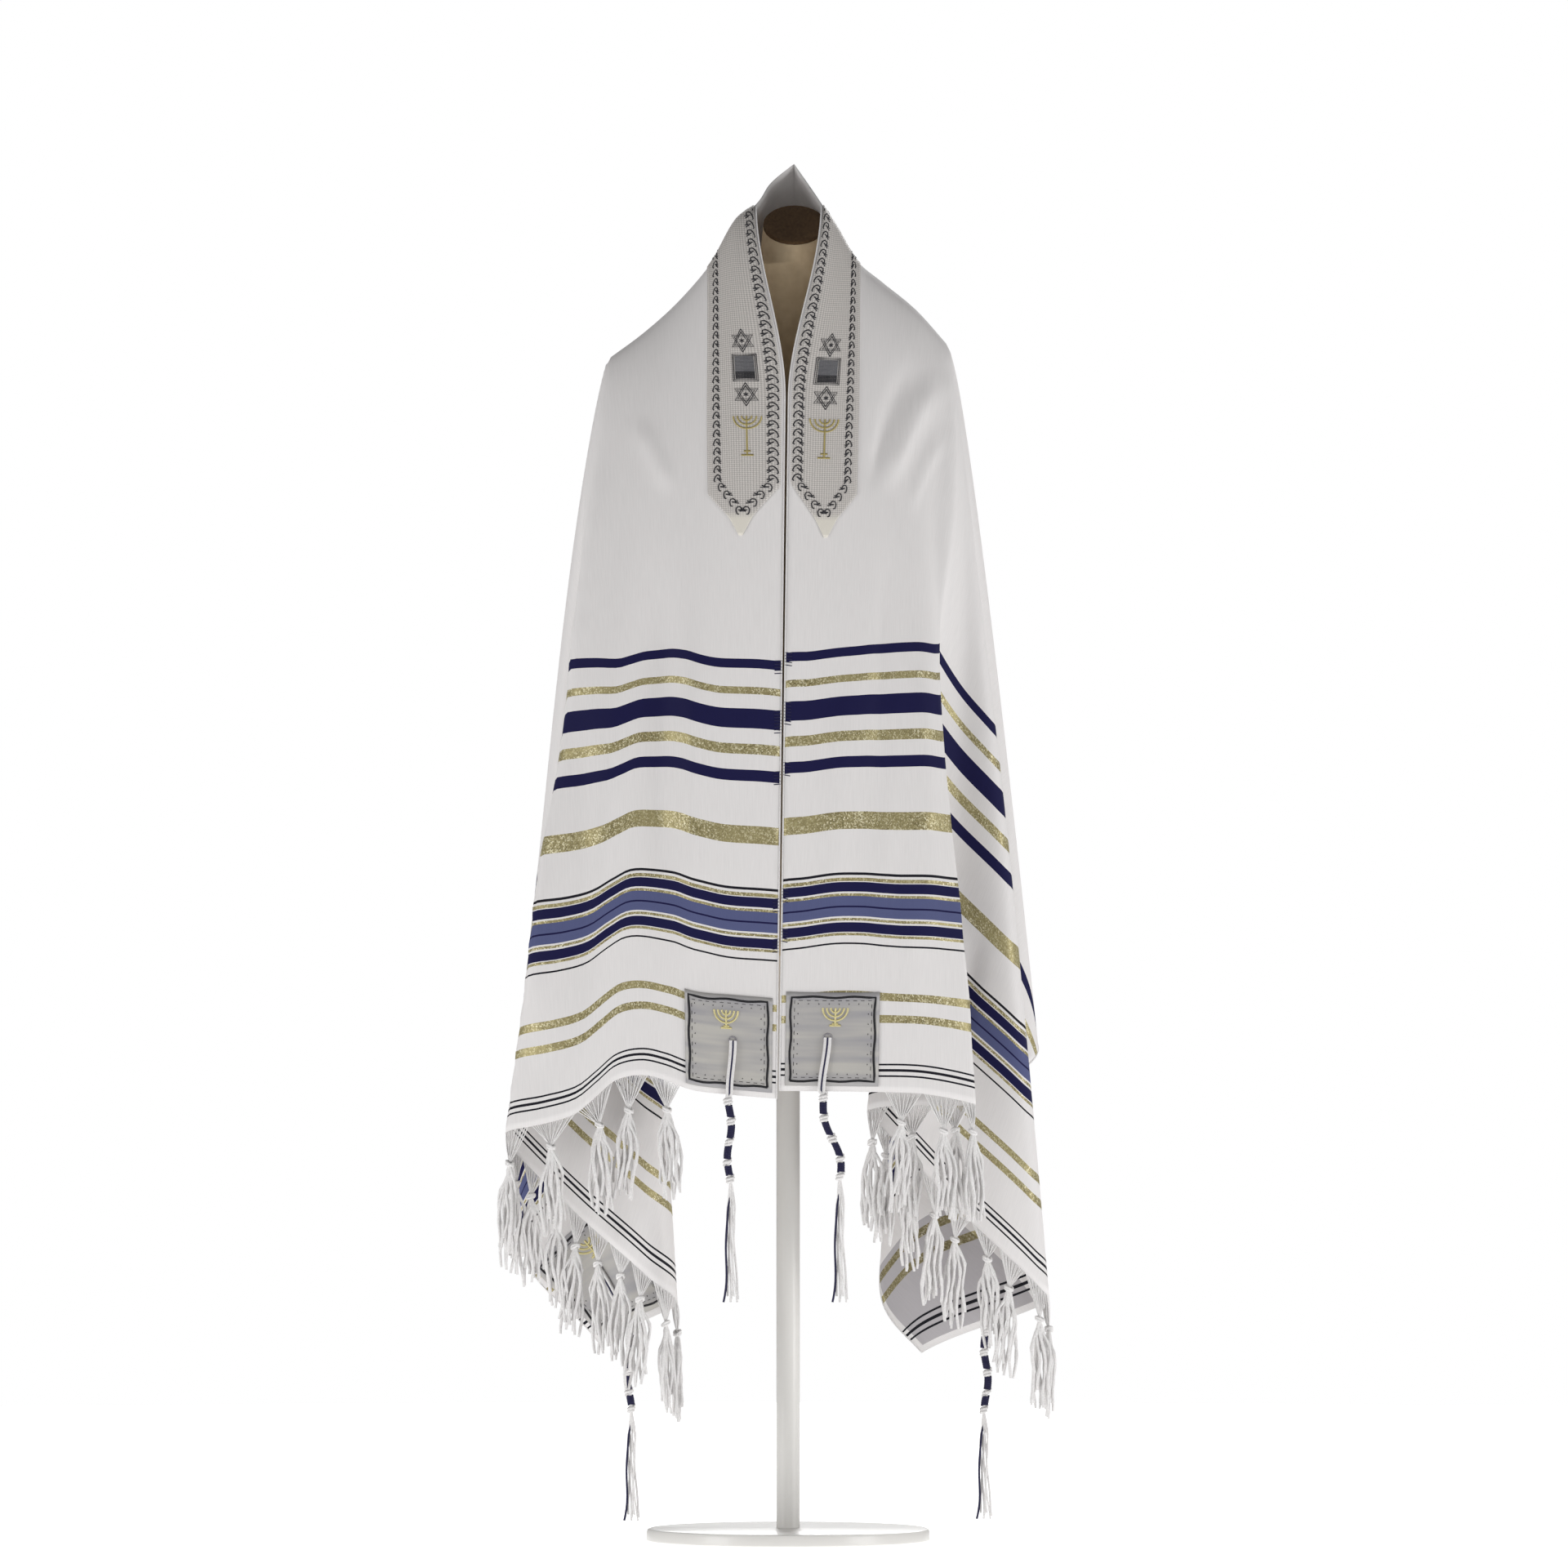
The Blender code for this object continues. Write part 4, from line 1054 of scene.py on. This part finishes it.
frames, dashes, dots, lampstands, eyelets = [], [], [], [], []
beside, below, lamp_wide, lamp_high = PATCH_LAMP
for side, word in ((-1, "left"), (1, "right")):
    for at_back, end in ((False, "front"), (True, "back")):
        placed = corner_place(at_back, side)
        patch = cloth_piece(f"corner_{end}_{word}", 20, 20, placed, satin, band_lift, PATCH_THICK)
        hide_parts(f"patch_{end}_{word}")
        waves = FRAME_WAVE * np.sin(1.1 * np.arange(FRAME_POINTS))
        frame_line = inside_patch(FRAME_IN, at_back, FRAME_POINTS, side)
        frame_line = [(a + wave, s + wave) for (a, s), wave in zip(frame_line, waves)]
        frames.append([*frame_line[:-1], frame_line[0]])
        dash_line = inside_patch(DASHES_IN, at_back, DASH_POINTS, side)
        dashes += [dash_line[n : n + 2] for n in range(0, DASH_POINTS - 1, 2)]
        for a, s in inside_patch(DOTS_IN, at_back, 4 * DOTS_A_SIDE + 1, side)[:-1]:
            dots.append([(a - DOT_LONG / 2, s), (a + DOT_LONG / 2, s)])
        middle = EYELET_A + beside
        eyelet_a = EYELET_A
        if at_back:
            middle, eyelet_a = WIDTH - middle, WIDTH - eyelet_a
        lamp_s = HALF - PATCH_INSET - PATCH + below
        lampstands += lampstand(middle, lamp_s, lamp_wide, lamp_high, side)
        ring = []
        for turn in np.linspace(0, 2 * math.pi, 17):
            s = EYELET_S + EYELET_RADIUS * math.sin(turn)
            ring.append((eyelet_a + EYELET_RADIUS * math.cos(turn), side * s))
        eyelets.append(ring)
black_cord = thread_material("black cord", "101016", 0.7)
grey_thread = thread_material("grey thread", "9A979C", 0.6)
pale_gold = thread_material("pale gold thread", "DDD29A", 0.4, 0.2)
patch_work = [
    stitches("patch_frames", frames, FRAME_RADIUS, black_cord, stitch_lift),
    stitches("patch_dashes", dashes, DASH_RADIUS, black_cord, stitch_lift),
    stitches("patch_dots", dots, DOT_RADIUS, black_cord, stitch_lift),
    stitches("patch_lampstands", lampstands, 1.2 * GOLD_RADIUS, pale_gold, stitch_lift),
    stitches("patch_eyelets", eyelets, RING_RADIUS, grey_thread, stitch_lift),
]
embroidery += patch_work


# The tzitzit: at each corner a doubled white cord with one dark strand goes through the eyelet
# and over the edge. It is knotted five times, wound with navy between the knots, and ends in
# loose strands.
CORD_RADIUS = 0.0019
STRAND_RADIUS = 0.0011
HEAD_DROP = 0.090
HEAD_SWAY = 0.0021
ASKEW = 0.020
LEAN = 0.005
CORD_APART = 0.0021
DARK_OVER = 0.0008
OVER_END_S = 0.999
OVER_END_DROP = 0.006
FRONT_TIP_Z = 0.250
BACK_TIP_Z = 0.022
WIND_RADIUS = 0.0032
WIND_PITCH = 0.0013
WIND_THREAD = 0.0008
KNOT_RADIUS = 0.0033
KNOT_PITCH = 0.0030
KNOT_TILT = 0.45
KNOT_THREAD = 0.0016
STRANDS = 8
STRANDS_WIDE = 0.0038
STRANDS_FLARE = 0.0040
STRANDS_DEEP = 0.0030
STRAND_WAVE = 0.0010
STRAND_TUCK = 0.003
STRAND_UNEVEN = 0.003
# Down the head. Columns: from, to, what is there
HEAD = (
    (0.004, 0.011, "knot"),
    (0.012, 0.024, "winding"),
    (0.025, 0.031, "knot"),
    (0.032, 0.045, "winding"),
    (0.046, 0.052, "knot"),
    (0.053, 0.066, "winding"),
    (0.067, 0.072, "knot"),
    (0.073, 0.083, "winding"),
    (0.084, 0.090, "knot"),
)


def head_at(foot, drop, at_back, side):
    """The middle of a tassel's head at a drop below its foot. The front right one lies askew."""
    sway = HEAD_SWAY * math.sin(95 * drop + 1.5 * side + at_back)
    if side == 1 and not at_back:
        sway += ASKEW * rise(drop / HEAD_DROP)
    return foot + np.array((sway, 0.0, -drop))


def wound(middle_at, start, end, radius, pitch, tilt):
    """A thread wound round the head between two drops, leaning by tilt."""
    path = []
    for turn in np.arange(0, 2 * math.pi * (end - start) / pitch, math.pi / 5):
        x, y = radius * math.cos(turn), radius * math.sin(turn)
        path.append(middle_at(start + pitch * turn / (2 * math.pi)) + np.array((x, y, tilt * x)))
    return path


def loose_strand(n, neck, length):
    """One of the strands below the head, fanned out by its number and flared at its end."""
    turn = 2 * math.pi * n / STRANDS
    fan = (2 * n - STRANDS + 1) / (STRANDS - 1)
    path = [neck + np.array((0, 0, STRAND_TUCK))]
    for share in np.linspace(0.04, 1, 18):
        spread = rise(share * 4)
        x = fan * (STRANDS_WIDE * spread + STRANDS_FLARE * share**5)
        x += STRAND_WAVE * math.sin(9 * share + 1.9 * n)
        y = STRANDS_DEEP * math.sin(turn) * spread + STRAND_WAVE * math.cos(7 * share + n)
        path.append(neck + np.array((x, y, -length * share)))
    return path


tassels = []
down_s = np.linspace(EYELET_S, OVER_END_S, 9)
for side, word in ((-1, "left"), (1, "right")):
    leans = -LEAN * side * rise((down_s - EYELET_S) / (HALF - EYELET_S))
    for at_back, end in ((False, "front"), (True, "back")):
        name = f"tzitzit_{end}_{word}"
        tip_z = BACK_TIP_Z if at_back else FRONT_TIP_Z
        over_a = (WIDTH - EYELET_A if at_back else EYELET_A) + leans
        lift = band_lift + PATCH_THICK / 2 + CORD_RADIUS
        foot = on_cloth(over_a[-1], side * down_s[-1], lift)
        core_at = functools.partial(head_at, foot, at_back=at_back, side=side)
        over_patch = []
        for beside, high in ((-CORD_APART, 0), (CORD_APART, 0), (0, DARK_OVER)):
            over = on_cloth(over_a + beside, side * down_s, lift + high)
            over_patch.append([*over, core_at(OVER_END_DROP)])
        core = [core_at(drop) for drop in np.linspace(0.002, HEAD_DROP, 24)]
        windings, knots = [], []
        for start, stop, what in HEAD:
            if what == "winding":
                windings.append(wound(core_at, start, stop, WIND_RADIUS, WIND_PITCH, 0.0))
            else:
                knots.append(wound(core_at, start, stop, KNOT_RADIUS, KNOT_PITCH, KNOT_TILT))
        neck = core_at(HEAD_DROP)
        strands = []
        for n in range(STRANDS):
            strands.append(loose_strand(n, neck, neck[2] - tip_z - STRAND_UNEVEN * (n % 3)))
        dark = [over_patch[2], strands[0]]
        pieces = [
            threads(f"{name}_cord", [*over_patch[:2], core], CORD_RADIUS, white_cord, 4),
            threads(f"{name}_knots", knots, KNOT_THREAD, white_cord, 4),
            threads(f"{name}_windings", windings, WIND_THREAD, navy_cord, 3),
            threads(f"{name}_strands", strands[1:], STRAND_RADIUS, white_cord, 3),
            threads(f"{name}_dark_strand", dark, STRAND_RADIUS, navy_cord, 3),
        ]
        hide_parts(name)
        tassels += pieces


# The fringe: the cloth's own warp threads, left long at both ends, combed together and knotted in
# bunches between the patches, and below the knots twisted into loose wavy locks.
BUNCHES = 14
BESIDE_PATCH = 0.006
BUNCHES_START = PATCH_INSET + PATCH + BESIDE_PATCH
BUNCH_PITCH = (WIDTH - 2 * BUNCHES_START) / BUNCHES
COMBED = 20
COMBED_SHARE = 0.96
COMBED_TUCK = 0.0005
COMBED_SAG = 0.002
COMBED_RADIUS = 0.0006
TIE_DROP = 0.030
TIE_UNEVEN = 0.005
TIE_ASIDE = 0.003
TIE_WIDE = 0.0036
TIE_DEEP = 0.0030
TIE_HIGH = 0.0022
TIE_THREAD = 0.0016
LOCKS = 11
LOCKS_WIDE = 0.022
LOCKS_DEEP = 0.0035
LOCKS_LEAN = 0.006
LOCK_DROP = 0.082
LOCK_UNEVEN = 0.010
LOCK_TUCK = 0.001
LOCK_WAVE = 0.0018
LOCK_WAVE_DEEP = 0.001
LOCK_RADIUS = 0.0017
# Thickness along a lock, as shares of its radius: twisted, so thick and thin by turns
LOCK_TAPER = [0.6, *[1.0 + 0.2 * math.sin(2.5 * n) for n in range(10)], 0.95, 0.8]


def combed_thread(top, knot, bow):
    """A thread from the cloth's end to its bunch's knot, bowed half way."""
    return [top + (knot - top) * t + bow * math.sin(math.pi * t) for t in (0, 0.25, 0.5, 0.75, 1)]


def tie(knot, beside, out, turned_by):
    """A loop of thread round a bunch's knot."""
    loop = []
    for t in np.linspace(0, 2.2 * math.pi, 16):
        across, deep = TIE_WIDE * math.cos(t + turned_by), TIE_DEEP * math.sin(t + turned_by)
        up = np.array((0, 0, TIE_HIGH * math.cos(t + 2 * turned_by)))
        loop.append(knot + beside * across + out * deep + up)
    return loop


def lock(knot, beside, out, bunch, n, lean):
    """One of a bunch's wavy locks by its number, fanned out below the knot."""
    share = (n + 0.5) / LOCKS - 0.5
    drop = LOCK_DROP + LOCK_UNEVEN * math.sin(1.3 * bunch + 2.9 * n)
    path = [knot + np.array((0, 0, LOCK_TUCK))]
    for t in np.linspace(0.08, 1, 12):
        across = share * LOCKS_WIDE * rise(2.5 * t) + lean * t
        across += LOCK_WAVE * math.sin(8 * t + 1.9 * n + bunch)
        deep = LOCKS_DEEP * math.sin(2.2 * n + 1.5 * bunch) * rise(2 * t)
        deep += LOCK_WAVE_DEEP * math.cos(7 * t + n)
        path.append(knot + beside * across + out * deep - np.array((0, 0, drop * t)))
    return path


fringes = []
within_bunch = ((np.arange(COMBED) + 0.5) / COMBED - 0.5) * BUNCH_PITCH * COMBED_SHARE
for side, word in ((-1, "left"), (1, "right")):
    combed, ties, locks = [], [], []
    for k in range(BUNCHES):
        middle_a = BUNCHES_START + (k + 0.5) * BUNCH_PITCH
        middle = on_cloth(middle_a, side * HALF)
        # The way the cloth faces here, and the way along its end
        out = on_cloth(middle_a, side * HALF, 1.0) - middle
        beside = np.cross(out, (0, 0, 1))
        beside /= np.linalg.norm(beside)
        knot = middle - np.array((0, 0, TIE_DROP + TIE_UNEVEN * math.sin(1.7 * k)))
        knot += beside * TIE_ASIDE * math.sin(2.9 * k + side)
        for n, top in enumerate(on_cloth(middle_a + within_bunch, side * (HALF - COMBED_TUCK))):
            combed.append(combed_thread(top, knot, out * COMBED_SAG * math.sin(2.1 * n + k)))
        ties += [tie(knot, beside, out, turned_by) for turned_by in (0, 1.3)]
        lean = LOCKS_LEAN * math.sin(2.3 * k + side)
        locks += [lock(knot, beside, out, k, n, lean) for n in range(LOCKS)]
    pieces = [
        threads(f"fringe_locks_{word}", locks, LOCK_RADIUS, white_cord, 3, LOCK_TAPER),
        threads(f"fringe_combed_{word}", combed, COMBED_RADIUS, white_cord),
        threads(f"fringe_knots_{word}", ties, TIE_THREAD, white_cord, 3),
    ]
    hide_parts(f"fringe_{word}")
    fringes += pieces


# The studio: a white paper floor in a white room, large soft lights at both sides, and a long lens
# level with the middle of the shawl.
PHOTO_HEIGHT = 1.600
PHOTO_X = -0.0042
PHOTO_Z = 0.775
CAMERA_DISTANCE = 16.0
FRONT_OF_SHAWL = -0.04
SENSOR = 36.0
FLOOR_RADIUS = 3.6

paper, tree, shader = new_material("white paper")
place = add_node(tree, "TexCoord").outputs["Object"]
fibres = add_node(tree, "TexNoise", {"Vector": place, "Scale": 40.0, "Detail": 4.0})
paper_colour = add_node(tree, "ValToRGB", {"Fac": fibres.outputs["Fac"]})
paper_colour.color_ramp.elements[0].color = linear("F3F3F3")
paper_colour.color_ramp.elements[1].color = linear("F7F7F7")
tree.links.new(paper_colour.outputs["Color"], shader.inputs["Base Color"])
shader.inputs["Roughness"].default_value = 0.9
shader.inputs["Emission Color"].default_value = linear("FFFFFF")
shader.inputs["Emission Strength"].default_value = 0.85

bm = bmesh.new()
bmesh.ops.create_circle(bm, cap_ends=True, segments=96, radius=FLOOR_RADIUS)
floor = add_object("paper_floor", mesh_from(bm, "paper_floor", paper))


def soft_light(name, at, aim, size, watts):
    """A large square studio light."""
    light = bpy.data.lights.new(name, "AREA")
    light.size = size
    light.energy = watts
    made = add_object(name, light)
    made.location = at
    away = np.array(at, float) - np.array(aim, float)
    made.rotation_euler = (
        math.atan2(math.hypot(away[0], away[1]), away[2]),
        0,
        math.atan2(away[1], away[0]) + math.pi / 2,
    )


soft_light("key_light", (-3.6, -2.1, 0.9), (0, 0, 0.8), 1.6, 54)
soft_light("fill_light", (3.7, -1.9, 0.9), (0, 0, 0.8), 1.8, 60)
soft_light("back_light", (0.4, 4.2, 2.2), (0, 0, 0.8), 2.0, 75)

world = bpy.data.worlds.new("studio")
world.use_nodes = True
tree = world.node_tree
room = tree.nodes["Background"]
room.inputs["Color"].default_value = linear("FFFFFF")
# The room's far walls are lit apart from the shawl, so they look white and throw little light on it
seen = add_node(tree, "LightPath").outputs["Is Camera Ray"]
wall = add_node(tree, "MapRange", {"Value": seen, "To Min": 0.20, "To Max": 1.0})
tree.links.new(wall.outputs["Result"], room.inputs["Strength"])
bpy.context.scene.world = world
bpy.context.scene.view_settings.view_transform = "Standard"

camera = bpy.data.cameras.new("camera")
camera.sensor_width = SENSOR
camera.lens = SENSOR * CAMERA_DISTANCE / PHOTO_HEIGHT
viewer = add_object("camera", camera)
viewer.location = (PHOTO_X, FRONT_OF_SHAWL - CAMERA_DISTANCE, PHOTO_Z)
viewer.rotation_euler = (math.pi / 2, 0, 0)
bpy.context.scene.camera = viewer
